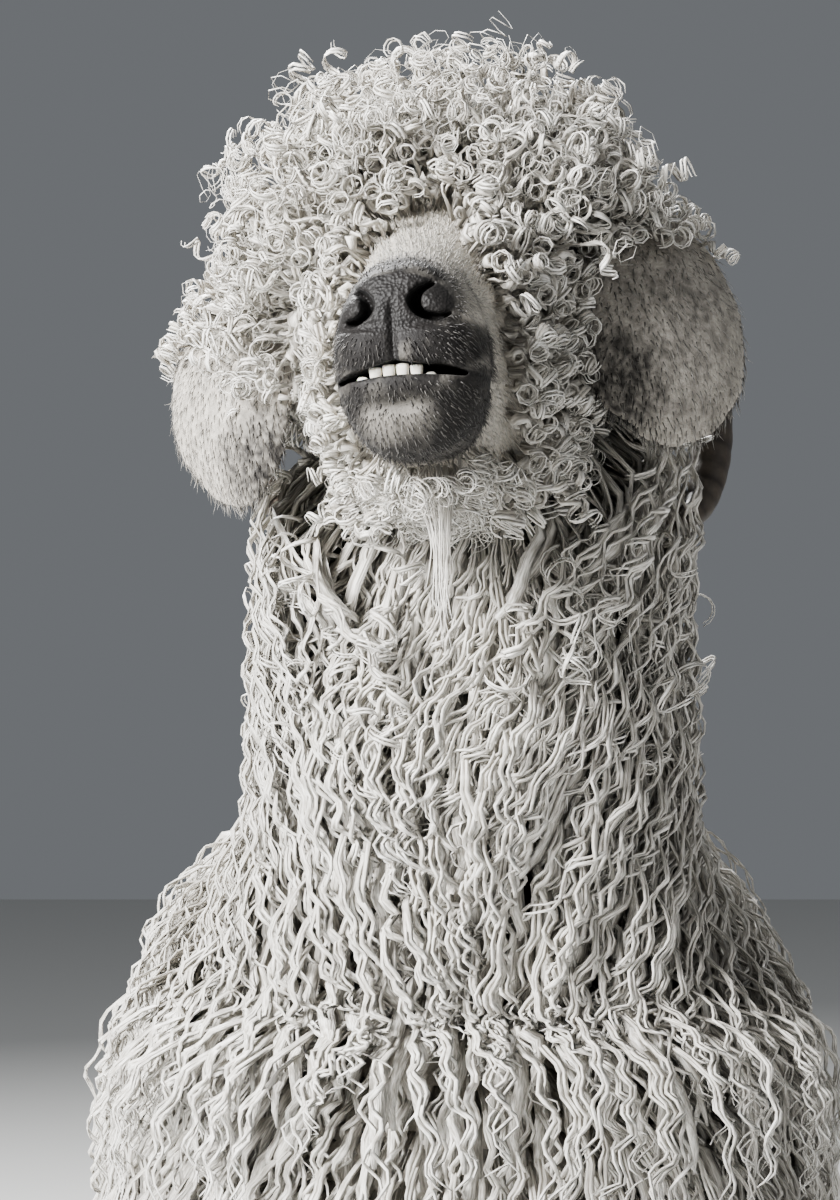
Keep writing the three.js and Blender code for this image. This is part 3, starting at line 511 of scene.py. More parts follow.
def pigment_and_shade_at(points):
    """How dark the coat is at a place, from white wool (0) to black skin (1): its pigment, with painted shade
    added on her left side.
    """
    local = head_frame(points)
    x, y, z = local.T
    own = x - nose_middle(y)
    local = np.stack([own, y, z], -1)
    # Painted shade: the dark of the muzzle reaches wider and further back on her left side, which lies in
    # shade.
    shaded_left_side = smoothstep(own, 6, 22) * (1 - smoothstep(z, 12, 26))
    past = y - 0.4 * np.maximum(z - 20, 0) - 0.5 * np.maximum(np.abs(own) - 12, 0) - 20 * shaded_left_side
    ahead = 1 - smoothstep(past, 16, 34)
    pad = (1 - smoothstep(np.hypot(own / 28, (z - 21) / 24), 0.8, 1.08)) * ahead
    from_lip = np.hypot(own / (29 + 9 * shaded_left_side), (z - 8) / 18)
    upper_lip = 0.97 * (1 - smoothstep(from_lip, 0.75, 1.08)) * ahead
    high, low = lip_edges(x)
    lips = np.exp(-(((z - (high + low) / 2) / 7) ** 4)) * (1 - smoothstep(y, 30, 52)) * (np.abs(x) < 45)
    from_chin = np.hypot(own / (32 + 7 * shaded_left_side), (z + 14) / 25)
    chin = 0.93 * (1 - smoothstep(from_chin, 0.72, 1.05))
    chin *= 1 - smoothstep(y - 16 * shaded_left_side, 18, 38)
    chin *= 1 - 0.36 * bump_at(local, (-1, 4, -18), (19, 26, 12))
    dark = np.maximum.reduce([pad, upper_lip, 0.92 * lips, chin])
    # Freckled ears, darkest low down on the inner half, and greyer on her left ear as painted shade.
    local = head_frame(points)
    fleck = 0.5 + 0.5 * np.sin(0.9 * x + 2 * np.sin(0.5 * z)) * np.sin(0.8 * z + 1.7 * np.sin(0.4 * x))
    for ear_middle, tone_and_shade, spot_middle, size in EAR_MARKS:
        dark = np.maximum(dark, bump_at(local, ear_middle, (55, 60, 80)) ** 0.4 * (tone_and_shade + 0.3 * fleck))
        dark = np.maximum(dark, bump_at(local, spot_middle, (size, 50, size)) ** 0.3 * (0.55 + 0.45 * fleck))
    return np.clip(1 - (1 - np.clip(dark, 0, 1)) ** 1.8, 0, 1)


def bare_at(points):
    """Where the skin is bare: nose pad, lips, mouth and the rims of the eyes."""
    local = head_frame(points)
    x, y, z = local.T
    own = x - nose_middle(y)
    pad = 1 - smoothstep(np.hypot(own / 23.5, (z - 24) / 12.5), 0.9, 1.04)
    pad = np.maximum(pad, (1 - smoothstep(np.abs(own), 2, 4)) * (z > 3) * (z < 24))
    pad *= 1 - smoothstep(y - 0.35 * np.maximum(z - 20, 0), 12, 20)
    high, low = lip_edges(x)
    lips = np.exp(-(((z - (high + low) / 2) / 3.4) ** 4)) * (1 - smoothstep(y, 30, 46)) * (np.abs(x) < 45)
    bare = np.maximum(pad, lips)
    for side in (1, -1):
        away = np.linalg.norm(local - np.array(eye_place(side) + eye_look(side) * 8), axis=1)
        bare = np.maximum(bare, 1 - smoothstep(away, 13, 17))
    return np.clip(bare, 0, 1)


def add_value(made, name, values):
    layer = made.data.attributes.new(name, "FLOAT", "POINT")
    layer.data.foreach_set("value", np.asarray(values, np.float32))


skin_points = coordinates(skin)
add_value(skin, "pigment_and_shade", pigment_and_shade_at(skin_points))
add_value(skin, "bare", bare_at(skin_points))


# Materials
def linear(colour):
    """An sRGB hex colour as linear RGBA."""
    parts = [int(colour[i : i + 2], 16) / 255 for i in (1, 3, 5)]
    return [p / 12.92 if p <= 0.04045 else ((p + 0.055) / 1.055) ** 2.4 for p in parts] + [1]


ATTRIBUTE = "ShaderNodeAttribute"
NOISE = "ShaderNodeTexNoise"
MIX = "ShaderNodeMix"
MATH = "ShaderNodeMath"
BUMP = "ShaderNodeBump"
COLOURS = {"data_type": "RGBA"}  # a Mix of colours: factor 0, colours 6 and 7, result 2
CLAMPED = {"use_clamp": True}


def node(tree, kind, settings=None, **links):
    """Adds a node. Settings are its properties, or values of its sockets by name or number. Links are
    its inputs by name, or i0, i1 and so on by number."""
    made = tree.nodes.new(kind)
    for key, value in (settings or {}).items():
        if isinstance(key, str) and hasattr(made, key):
            setattr(made, key, value)
        else:
            made.inputs[key].default_value = value
    for key, source in links.items():
        socket = int(key[1:]) if key[0] == "i" and key[1:].isdigit() else key.replace("_", " ")
        tree.links.new(source, made.inputs[socket])
    return made


def new_material(name, **shader):
    material = bpy.data.materials.new(name)
    material.use_nodes = True
    tree = material.node_tree
    surface = tree.nodes["Principled BSDF"]
    for key, value in shader.items():
        surface.inputs[key.replace("_", " ")].default_value = value
    return material, tree, surface


def mohair_material():
    """Mohair, the fibre of the Angora goat: long, smooth and lustrous, off-white. Painted shade darkens each
    lock towards its root and darkens the deeper layers of the fleece. Each lock shines in bands along its
    waves, and its fibres show as fine lines."""
    material, tree, surface = new_material("mohair", Roughness=0.5, IOR=1.54)
    surface.inputs["Sheen Weight"].default_value = 0.1
    surface.inputs["Sheen Roughness"].default_value = 0.4
    tip = node(tree, ATTRIBUTE, {"attribute_name": "tip"}).outputs["Fac"]
    shade = node(tree, ATTRIBUTE, {"attribute_name": "shade"}).outputs["Fac"]
    pigment_and_shade = node(tree, ATTRIBUTE, {"attribute_name": "pigment_and_shade"}).outputs["Fac"]
    # A single fibre is 0.03 mm thick, too fine to show, so bunches about 1 mm wide are drawn instead.
    uv = node(tree, "ShaderNodeUVMap", {"uv_map": "Strand"}).outputs["UV"]
    stretch = node(tree, "ShaderNodeMapping", {"Scale": (2.3, 0.4, 1)}, Vector=uv)
    fibres = node(tree, NOISE, {"Scale": 3.0, "Detail": 2.0}, Vector=stretch.outputs[0])
    apart = node(tree, "ShaderNodeMapRange", {1: 0.34, 2: 0.62}, Value=fibres.outputs[0]).outputs[0]
    # Lit and shaded copies of the fibre colour: the shaded one is painted shade, for wool deep in the fleece.
    lit = node(tree, MIX, {**COLOURS, 6: linear("#BFB9AF"), 7: linear("#FFFEFA")}, i0=apart)
    deep = node(tree, MIX, {**COLOURS, 6: linear("#9A958C"), 7: linear("#DAD6CE")}, i0=apart)
    # Painted shade: each lock darkens from its tip down to its root.
    shaded_at_root = node(tree, MIX, COLOURS, i0=tip, i6=deep.outputs[2], i7=lit.outputs[2])
    # The shade value adds more painted shade on the deeper layers, besides a random tone for each lock.
    toned_and_shaded = node(tree, MIX, COLOURS, i0=shade, i6=deep.outputs[2], i7=shaded_at_root.outputs[2])
    dark = node(tree, MIX, {**COLOURS, 7: linear("#1F1B19")}, i0=pigment_and_shade, i6=toned_and_shaded.outputs[2])
    tree.links.new(dark.outputs[2], surface.inputs["Base Color"])
    bump = node(tree, BUMP, {"Strength": 0.8, "Distance": 0.8 * MM}, Height=fibres.outputs[0])
    tree.links.new(bump.outputs[0], surface.inputs["Normal"])
    return material


def skin_material():
    """Goat skin: bare, dark and leathery on the nose and lips, with short flat hair elsewhere."""
    material, tree, surface = new_material("goat_skin", Roughness=0.6, IOR=1.45)
    surface.inputs["Sheen Weight"].default_value = 0.05
    place = node(tree, "ShaderNodeTexCoord").outputs["Object"]
    bare = node(tree, ATTRIBUTE, {"attribute_name": "bare"}).outputs["Fac"]
    pigment_and_shade = node(tree, ATTRIBUTE, {"attribute_name": "pigment_and_shade"}).outputs["Fac"]
    # Short hair lies in streaks about 1 mm apart, and the freckles are about 11 mm across.
    hair = node(tree, NOISE, {"Scale": 900.0, "Detail": 3.0, "Roughness": 0.6}, Vector=place)
    blotch = node(tree, NOISE, {"Scale": 90.0, "Detail": 4.0}, Vector=place)
    coat = node(tree, MIX, {**COLOURS, 6: linear("#A79E92"), 7: linear("#E9E4DA")}, i0=hair.outputs[0])
    # Pigment breaks up into freckles where it is thin.
    speckled = node(tree, MATH, {"operation": "MULTIPLY_ADD", 1: 0.7, 2: -0.35}, i0=blotch.outputs[0])
    amount = node(tree, MATH, {"operation": "ADD", **CLAMPED}, i0=pigment_and_shade, i1=speckled.outputs[0])
    shown = node(tree, MATH, {"operation": "MULTIPLY", **CLAMPED}, i0=amount.outputs[0], i1=pigment_and_shade)
    both = node(tree, MATH, {"operation": "MAXIMUM", **CLAMPED}, i0=shown.outputs[0], i1=bare)
    leather = node(tree, MIX, {**COLOURS, 6: linear("#080706"), 7: linear("#1E1A18")}, i0=blotch.outputs[0])
    colour = node(tree, MIX, COLOURS, i0=both.outputs[0], i6=coat.outputs[2], i7=leather.outputs[2])
    tree.links.new(colour.outputs[2], surface.inputs["Base Color"])
    # The nose pad is pebbled in plates about 1.2 mm across.
    plates = {"Scale": 800.0, "feature": "SMOOTH_F1", "Smoothness": 0.4}
    pebbles = node(tree, "ShaderNodeTexVoronoi", plates, Vector=place)
    relief = node(tree, MIX, {"data_type": "FLOAT"}, i0=bare, i2=hair.outputs[0], i3=pebbles.outputs[0])
    bump = node(tree, BUMP, {"Strength": 0.6, "Distance": 0.7 * MM}, Height=relief.outputs[0])
    tree.links.new(bump.outputs[0], surface.inputs["Normal"])
    rough = node(tree, "ShaderNodeMapRange", {3: 0.7, 4: 0.6}, Value=bare)
    tree.links.new(rough.outputs[0], surface.inputs["Roughness"])
    return material


def horn_material():
    """Horn, a keratin sheath grown in rings: grey brown, darker in the rings, dull with a waxy polish."""
    material, tree, surface = new_material("horn_keratin", Roughness=0.42, IOR=1.55)
    ring = node(tree, ATTRIBUTE, {"attribute_name": "ring"}).outputs["Fac"]
    place = node(tree, "ShaderNodeTexCoord").outputs["Object"]
    # Streaks of the sheath, about 4.5 mm apart with finer ones inside them.
    streak = node(tree, NOISE, {"Scale": 220.0, "Detail": 5.0}, Vector=place)
    base = node(tree, MIX, {**COLOURS, 6: linear("#2E2925"), 7: linear("#655C52")}, i0=streak.outputs[0])
    colour = node(tree, MIX, {**COLOURS, 7: linear("#2A2420")}, i0=ring, i6=base.outputs[2])
    tree.links.new(colour.outputs[2], surface.inputs["Base Color"])
    bump = node(tree, BUMP, {"Strength": 0.4, "Distance": 0.8 * MM}, Height=streak.outputs[0])
    tree.links.new(bump.outputs[0], surface.inputs["Normal"])
    return material


def hoof_material():
    """Hoof horn: dark keratin worn smooth, with fine growth lines level with the crown."""
    material, tree, surface = new_material("hoof_keratin", Roughness=0.48, IOR=1.55)
    place = node(tree, "ShaderNodeTexCoord").outputs["Object"]
    # Growth lines about 1.1 mm apart in height, and 17 mm long round the hoof.
    stretch = node(tree, "ShaderNodeMapping", {"Scale": (60, 60, 900)}, Vector=place)
    lines = node(tree, NOISE, {"Scale": 1.0, "Detail": 4.0}, Vector=stretch.outputs[0])
    colour = node(tree, MIX, {**COLOURS, 6: linear("#1F1A17"), 7: linear("#5A5048")}, i0=lines.outputs[0])
    tree.links.new(colour.outputs[2], surface.inputs["Base Color"])
    bump = node(tree, BUMP, {"Strength": 0.35, "Distance": 0.6 * MM}, Height=lines.outputs[0])
    tree.links.new(bump.outputs[0], surface.inputs["Normal"])
    return material


def tooth_material():
    """Tooth enamel: smooth and a little translucent, cream with whiter patches about 3 mm across."""
    material, tree, surface = new_material("tooth_enamel", Roughness=0.22, IOR=1.62)
    surface.inputs["Subsurface Weight"].default_value = 0.15
    surface.inputs["Subsurface Radius"].default_value = (2 * MM, 1.5 * MM, 1 * MM)
    place = node(tree, "ShaderNodeTexCoord").outputs["Object"]
    stain = node(tree, NOISE, {"Scale": 350.0, "Detail": 3.0}, Vector=place)
    colour = node(tree, MIX, {**COLOURS, 6: linear("#E3DCCB"), 7: linear("#FBF8F0")}, i0=stain.outputs[0])
    tree.links.new(colour.outputs[2], surface.inputs["Base Color"])
    return material


def eye_material():
    """A goat's eye under a wet, clear surface: amber iris, level slot of a pupil and a dark rim."""
    material, tree, surface = new_material("wet_eye", Roughness=0.06, IOR=1.38)
    surface.inputs["Coat Weight"].default_value = 1.0
    in_iris = node(tree, ATTRIBUTE, {"attribute_name": "iris"}).outputs["Fac"]
    in_pupil = node(tree, ATTRIBUTE, {"attribute_name": "pupil"}).outputs["Fac"]
    iris = node(tree, MIX, {**COLOURS, 6: linear("#2A211A"), 7: linear("#9C7430")}, i0=in_iris)
    colour = node(tree, MIX, {**COLOURS, 7: linear("#050404")}, i0=in_pupil, i6=iris.outputs[2])
    tree.links.new(colour.outputs[2], surface.inputs["Base Color"])
    return material


mohair = mohair_material()
goat_skin = skin_material()
horn_keratin = horn_material()
hoof_keratin = hoof_material()
tooth_enamel = tooth_material()
wet_eye = eye_material()


def dressed(made, material, slot, *replaced):
    """Gives a piece its finish, lets it ride on the goat and stand for the frame's own nodes."""
    made.data.materials.clear()
    made.data.materials.append(material)
    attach(made, "root")
    if replaced:
        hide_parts(*replaced)
    return made


flesh = ["head", "neck", "torso", "tail", "ear_left", "ear_right"]
for which in ("fore", "hind"):
    for part in ("leg", "shank"):
        flesh += [f"{which}_{part}_left", f"{which}_{part}_right"]
dressed(skin, goat_skin, "face", *flesh)


# The coat: many thin closed strands, swept as arrays. An island is a loft's place on the unwrap:
# its left and lower edge, its width and its height.
ISLANDS = {
    "torso": (0.02, 0.02, 0.46, 0.46), "neck": (0.52, 0.02, 0.46, 0.22),
    "mop": (0.52, 0.27, 0.46, 0.21), "skull": (0.52, 0.51, 0.46, 0.21),
    "fore_left": (0.02, 0.51, 0.10, 0.22), "fore_right": (0.14, 0.51, 0.10, 0.22),
    "hind_left": (0.26, 0.51, 0.10, 0.22), "hind_right": (0.38, 0.51, 0.10, 0.22),
    "tail": (0.02, 0.76, 0.14, 0.1), "beard": (0.68, 0.76, 0.1, 0.1),
    "ear_left": (0.2, 0.76, 0.2, 0.2), "ear_right": (0.44, 0.76, 0.2, 0.2),
}
PATCH = 0.003  # size of a tuft's patch on the unwrap


class Coat:
    """Collects strands and turns them into pieces of the coat."""

    def __init__(self, name):
        self.name = name
        self.batches = []

    def add(self, centre, flat, width, thick, island, root_uv, shade, pigment_and_shade, sides=3):
        """Strands that run through the centres. `flat` is the way of their broad side."""
        self.batches.append((centre, flat, width, thick, island, root_uv, shade, pigment_and_shade, sides))

    def build(self):
        made, parts, size = [], [], 0
        for batch in self.batches:
            each = triangles_of(batch)
            start = 0
            while start < len(batch[0]):
                room = max(int((MOST_TRIANGLES - size) / each), 0)
                if room == 0:
                    made.append(self.piece(parts, len(made)))
                    parts, size = [], 0
                    continue
                stop = min(start + room, len(batch[0]))
                part = tuple(v[start:stop] if isinstance(v, np.ndarray) else v for v in batch)
                parts.append(part)
                size += each * (stop - start)
                start = stop
        if parts:
            made.append(self.piece(parts, len(made)))
        return made

    def piece(self, parts, number):
        arrays = [swept(*part) for part in parts]
        points, corners, lengths, bake, strand, values = [], [], [], [], [], []
        start = 0
        for part in arrays:
            points.append(part["points"])
            corners.append(part["corners"] + start)
            lengths.append(part["lengths"])
            bake.append(part["bake"])
            strand.append(part["strand"])
            values.append(part["values"])
            start += len(part["points"])
        mesh = bpy.data.meshes.new(f"{self.name}_{number + 1}")
        points = np.vstack(points)
        corners = np.concatenate(corners)
        lengths = np.concatenate(lengths)
        mesh.vertices.add(len(points))
        mesh.vertices.foreach_set("co", points.astype(np.float32).ravel())
        mesh.loops.add(len(corners))
        mesh.loops.foreach_set("vertex_index", corners.astype(np.int32))
        mesh.polygons.add(len(lengths))
        starts = np.concatenate([[0], np.cumsum(lengths)[:-1]])
        mesh.polygons.foreach_set("loop_start", starts.astype(np.int32))
        for uv_name, values_uv in (("OFBake", bake), ("Strand", strand)):
            layer = mesh.uv_layers.new(name=uv_name)
            layer.uv.foreach_set("vector", np.vstack(values_uv).astype(np.float32).ravel())
        mesh.update(calc_edges=True)
        mesh.shade_smooth()
        made = bpy.data.objects.new(mesh.name, mesh)
        bpy.context.scene.collection.objects.link(made)
        values = np.vstack(values)
        for column, key in enumerate(("tip", "shade", "pigment_and_shade")):
            add_value(made, key, values[:, column])
        return dressed(made, mohair, "mohair")


def triangles_of(batch):
    steps, sides = batch[0].shape[1], batch[8]
    return (steps - 1) * sides * 2 + (sides - 2) * 2


def swept(centre, flat, width, thick, island, root_uv, shade, pigment_and_shade, sides):
    """Points, faces, maps and values of closed strands: arrays of (strand, step, ...)."""
    count, steps, _ = centre.shape
    along = unit(np.gradient(centre, axis=1))
    deep = unit(np.cross(along, flat))
    broad = unit(np.cross(deep, along))
    angle = 2 * np.pi * (np.arange(sides) + 0.5) / sides
    ring = broad[:, :, None] * (np.cos(angle)[None, None, :, None] * width[:, :, None, None])
    ring = ring + deep[:, :, None] * (np.sin(angle)[None, None, :, None] * thick[:, :, None, None])
    points = (centre[:, :, None] + ring).reshape(-1, 3)
    s, i, k = np.meshgrid(np.arange(count), np.arange(steps - 1), np.arange(sides), indexing="ij")
    first = (s * steps + i) * sides
    after = first + (k + 1) % sides
    quads = np.stack([first + k, after, after + sides, first + sides + k], -1)
    base = np.arange(count)[:, None] * steps * sides
    start_caps = base + np.arange(sides)[None, ::-1]
    end_caps = base + (steps - 1) * sides + np.arange(sides)[None]
    corners = np.concatenate([quads.ravel(), start_caps.ravel(), end_caps.ravel()])
    lengths = np.concatenate([np.full(quads.size // 4, 4), np.full(2 * count, sides)])
    row = np.stack([i, i, i + 1, i + 1], -1) / (steps - 1)
    turn = np.stack([k, k + 1, k + 1, k], -1) / sides
    strand = np.stack([turn, row], -1).reshape(-1, 2)
    cap = np.arange(sides) / sides
    cap_starts = np.tile(np.stack([cap[::-1], np.zeros(sides)], -1), (count, 1))
    cap_ends = np.tile(np.stack([cap, np.ones(sides)], -1), (count, 1))
    strand = np.vstack([strand, cap_starts, cap_ends])
    left, low, wide, high = ISLANDS[island]
    home = np.stack([left + root_uv[:, 0] % 1 * wide, low + root_uv[:, 1] * high], -1)
    each = np.arange(count)
    owner = np.concatenate([np.repeat(each, n) for n in ((steps - 1) * sides * 4, sides, sides)])
    bake = home[owner] + (strand - 0.5) * PATCH
    length = np.linalg.norm(np.diff(centre, axis=1), axis=2).sum(axis=1) / MM
    # Fibres keep their spacing on strands of any width: 1 is the way round a strand 2.8 mm wide, and
    # 10 mm along it.
    breadth = 2 * width.max(axis=1) / MM / 2.8
    strand = strand * np.stack([breadth[owner], length[owner] / 10], -1)
    tip = np.broadcast_to(np.linspace(0, 1, steps)[None, :, None], (count, steps, sides)).reshape(-1)
    values = np.stack([tip, np.repeat(shade, steps * sides), np.repeat(pigment_and_shade, steps * sides)], -1)
    return {
        "points": points, "corners": corners, "lengths": lengths, "bake": bake, "strand": strand,
        "values": values,
    }


def rooted(loft, place, roots, gap=0.007):
    """Roots of a loft that lie on the skin: their places, normals and (u, v)."""
    aim = placed(loft.point(roots[:, 0], roots[:, 1]), place)
    places, outs, gaps = nearest(aim)
    kept = gaps < gap
    return places[kept], outs[kept], roots[kept]


def swirl(points, size):
    """A slow disorder of the lie, from -1 to 1, with waves of about the size given in metres."""
    x, y, z = (points / size).T
    slow = np.sin(x + 1.7 * np.sin(z)) * np.cos(1.3 * y + 0.6) * 0.6
    return slow + 0.4 * np.sin(2.1 * z + 1.3 * x + 0.7 * y)


def lie_of(points, outs, sweep, disorder):
    """The way the coat lies: down, parting on the back and drawn by the sweep."""
    down = np.tile(np.array([0.0, 0.0, -1.0]), (len(points), 1))
    down[:, 0] += 0.6 * np.sign(points[:, 0]) * np.maximum(outs[:, 2], 0) * (points[:, 1] > -0.13)
    down += sweep
    lie = unit(down - outs * (down * outs).sum(axis=1, keepdims=True))
    side = np.cross(outs, lie)
    return unit(lie + side * (disorder * swirl(points, 0.07))[:, None])


def eased(points, outs):
    """Outward ways that are nearly level over the breast, where the wool hangs like a curtain."""
    level = smoothstep(-points[:, 1], 0.10, 0.19) * 0.85 * (outs[:, 2] > 0)
    kept = np.ones(len(points))
    return unit(outs * np.stack([kept, kept, 1 - level], -1))


RISE_BY = 0.4  # share of a lock's length over which it rises through the fleece
FOLLOW = 5  # steps in which a lock follows the body


def hanging_paths(places, outs, depth, length, sweep, steps, disorder):
    """Middles of hanging locks: they rise from the skin through the fleece, then lie along the body."""
    count = len(places)
    at, out = places.copy(), eased(places, outs)
    lean = rng.normal(0, 0.07, count)
    marks_at, marks_out = [at.copy()], [out.copy()]
    for _ in range(FOLLOW):
        free = out[:, 2] < -0.7
        lie = lie_of(at, out, sweep, disorder)
        lie = unit(lie + np.cross(out, lie) * lean[:, None])
        lie[free] = unit(np.array([0.0, 0.15, -1.0]) + 0.15 * out[free])
        step = at + lie * (length / FOLLOW)[:, None]
        near, near_out, _ = nearest(step)
        at = np.where(free[:, None], step, near)
        out = np.where(free[:, None], out, unit(eased(near, near_out) + out))
        marks_at.append(at.copy())
        marks_out.append(out.copy())
    marks_at, marks_out = np.stack(marks_at, 1), np.stack(marks_out, 1)
    t = np.linspace(0, 1, steps) ** 0.75
    knot = np.minimum((t * FOLLOW).astype(int), FOLLOW - 1)
    share = (t * FOLLOW - knot)[None, :, None]
    base = marks_at[:, knot] * (1 - share) + marks_at[:, knot + 1] * share
    out = unit(marks_out[:, knot] * (1 - share) + marks_out[:, knot + 1] * share)
    rise = 1 - (1 - np.clip(t / RISE_BY, 0, 1)) ** 2
    sag = 1 - 0.16 * np.clip((t - 0.6) / 0.4, 0, 1)
    height = depth[:, None] * (rise * sag)[None]
    return base + out * height[..., None], out, np.broadcast_to(t, (count, steps))


def curled(path, out, t, radius, waves, phase, hand):
    """A path wound into a wave, flat near the root and a full curl at the tip."""
    along = unit(np.gradient(path, axis=1))
    side = unit(np.cross(along, out))
    lift = unit(np.cross(side, along))
    swing = radius[:, None] * smoothstep(t, 0.08, 0.7) * (1 + 0.5 * smoothstep(t, 0.8, 1))
    angle = phase[:, None] + 2 * np.pi * waves[:, None] * t
    wound = path + side * (swing * np.sin(angle) * hand)[..., None]
    return wound + lift * (0.8 * swing * np.cos(angle))[..., None], side


def lock_strands(coat, path, out, t, style, island, uv):
    """Fills each lock with a few strands that share its wave and part at the tip."""
    count = len(path)
    waves = rng.uniform(*style["waves"], count)
    phase = np.pi * swirl(path[:, 0], 0.03) + rng.normal(0, 0.5, count)
    radius = rng.uniform(*style["curl"], count) * MM
    hand = np.where(swirl(path[:, 0], 0.06) + rng.normal(0, 0.3, count) > 0, 1.0, -1.0)[:, None]
    # Each lock gets a random tone. A low tone also stands for painted shade, as on the deeper layers.
    tone_and_shade = np.clip(rng.normal(style.get("tone_and_shade", 0.78), 0.2, count), 0, 1)
    strands, spread = style["strands"], style["spread"] * MM
    for number in range(strands):
        own_phase = phase + rng.normal(0, 0.3, count)
        own_radius = radius * rng.uniform(0.8, 1.2, count)
        own_waves = waves * rng.uniform(0.96, 1.04, count)
        wound, side = curled(path, out, t, own_radius, own_waves, own_phase, hand)
        fan = (number - (strands - 1) / 2) * spread + rng.normal(0, 0.25, count) * spread
        lift = rng.normal(0, 0.4, count) * spread
        wound = wound + side * (fan[:, None] * (0.5 + 0.8 * t))[..., None]
        wound = wound + out * (lift[:, None] * t)[..., None]
        body = np.sin(np.pi * np.clip(0.16 + 0.82 * t, 0, 1)) ** 0.5
        size = rng.uniform(0.75, 1.25, count)[:, None] * style["width"] * MM / 2 * body
        shade = np.clip(tone_and_shade + rng.normal(0, 0.1, count), 0, 1)
        coat.add(wound, side, size, size * style["flat"], island, uv, shade, np.zeros(count))


def fleece(coat, loft, island, rows, style, depth_at, keep=None, sweep=(0, 0, 0)):
    """Locks over one loft of the body. `rows` is the roots' spacing and the part of the spine."""
    places, outs, uv = rooted(loft, BODY_PLACE, loft.roots(*rows))
    if keep is not None:
        kept = keep(places, outs)
        places, outs, uv = places[kept], outs[kept], uv[kept]
    depth = depth_at(places, outs) * MM * rng.uniform(*style["fill"], len(places))
    length = rng.uniform(*style["length"], len(places)) * MM * np.where(outs[:, 2] < -0.7, 0.65, 1)
    sweep = np.array(sweep)
    path, out, t = hanging_paths(places, outs, depth, length, sweep, style["steps"], style["disorder"])
    lock_strands(coat, path, out, t, style, island, uv)


# Kinds of lock. Waves are the number along one, curl their radius, spread the gap between its
# strands, width, length and depth in millimetres, flat the share of thickness, and fill the share of
# the fleece's depth that it reaches.
FINE = {
    "waves": (4.4, 5.8), "curl": (2.0, 3.6), "spread": 2.2, "width": 2.8, "flat": 0.5, "strands": 2,
    "length": (74, 112), "fill": (0.84, 1.04), "steps": 23, "disorder": 0.25,
}
LOOSE = {**FINE, "waves": (3.8, 5.0), "curl": (2.4, 4.2), "width": 4.0, "strands": 1, "steps": 20}
BROAD = {
    **FINE, "waves": (3.6, 4.8), "curl": (2.6, 4.8), "width": 4.8, "strands": 1,
    "length": (92, 125), "steps": 18,
}
# Under-wool fills the gaps between the locks. Its low tone is painted shade: it is darker, like wool deep in
# the fleece.
UNDER = {
    "waves": (1.0, 2.0), "curl": (1.5, 3.0), "spread": 1, "width": 9, "flat": 0.3, "strands": 1,
    "length": (55, 75), "fill": (0.66, 0.82), "steps": 7, "disorder": 0.2, "tone_and_shade": 0.5,
}
THROAT = {
    **FINE, "waves": (2.0, 3.2), "curl": (2.2, 4.4), "spread": 1.6, "width": 1.9, "strands": 2, "steps": 16,
    "length": (42, 62), "disorder": 0.95, "tone_and_shade": 0.95,
}


def neck_depth(places, outs):
    """Depth of the neck's wool, which thins out at the throat."""
    throat = smoothstep(places[:, 2], 0.69, 0.76) * smoothstep(-outs[:, 1], 0.1, 0.7)
    flare = 38 * smoothstep(-places[:, 2], -0.67, -0.52) * np.abs(outs[:, 0])
    return (NECK_WOOL + 5) * (1 - 0.62 * throat) + flare


def trunk_depth(places, outs):
    up, down = np.maximum(outs[:, 2], 0) ** 2, np.maximum(-outs[:, 2], 0) ** 2
    front = smoothstep(-outs[:, 1], 0.5, 0.9)
    side = FLEECE_SIDE * (1 - front) + (NECK_WOOL + 6) * front
    full = FLEECE_BACK * up + 0.4 * FLEECE_BELLY * down + side * (1 - up - down)
    # Shallower where the breast runs up into the neck, so that no ledge forms there.
    joint = smoothstep(-places[:, 1], 0.12, 0.2) * smoothstep(places[:, 2], 0.46, 0.56)
    return full * (1 - 0.55 * joint)


def neck_and_breast(coat):
    """The waved locks of the neck and breast, finest in front."""
    def ahead(places, outs):
        return (places[:, 2] > 0.43) & (outs[:, 1] < 0.35)

    def behind(places, outs):
        return (places[:, 2] > 0.43) & (outs[:, 1] >= 0.35)

    def at_throat(places, outs):
        return (places[:, 2] > 0.67) & (outs[:, 1] < -0.25)

    fleece(coat, neck, "neck", (17, 6.6, 0.08, 0.975), FINE, neck_depth, ahead)
    fleece(coat, neck, "neck", (20, 7.5, 0.08, 0.975), LOOSE, neck_depth, behind)
    fleece(coat, neck, "neck", (13, 8, 0.08, 0.98), UNDER, neck_depth)
    fleece(coat, neck, "neck", (9, 4.6, 0.55, 0.98), THROAT, lambda p, o: 0.9 * neck_depth(p, o), at_throat)
    fleece(coat, torso, "torso", (18, 8.5, 0.76, 0.995), FINE, trunk_depth, lambda p, o: p[:, 2] > 0.28)


def trunk(coat):
    """The fleece of the flanks, back, rump and belly."""
    fleece(coat, torso, "torso", (24, 12, 0.02, 0.77), BROAD, trunk_depth, sweep=(0, 0.2, 0))
    fleece(coat, torso, "torso", (20, 14, 0.02, 0.985), UNDER, trunk_depth, sweep=(0, 0.2, 0))

    def on_back(places, outs):
        return (outs[:, 2] > 0.72) & (places[:, 1] > -0.2)

    # Locks along the back lie towards the tail and close the parting.
    closing = {**BROAD, "length": (60, 90), "steps": 15, "waves": (2.4, 3.4), "disorder": 0.7, "width": 5.4}
    fleece(coat, torso, "torso", (15, 10, 0.02, 0.95), closing, trunk_depth, on_back, (0, 2.6, 0))


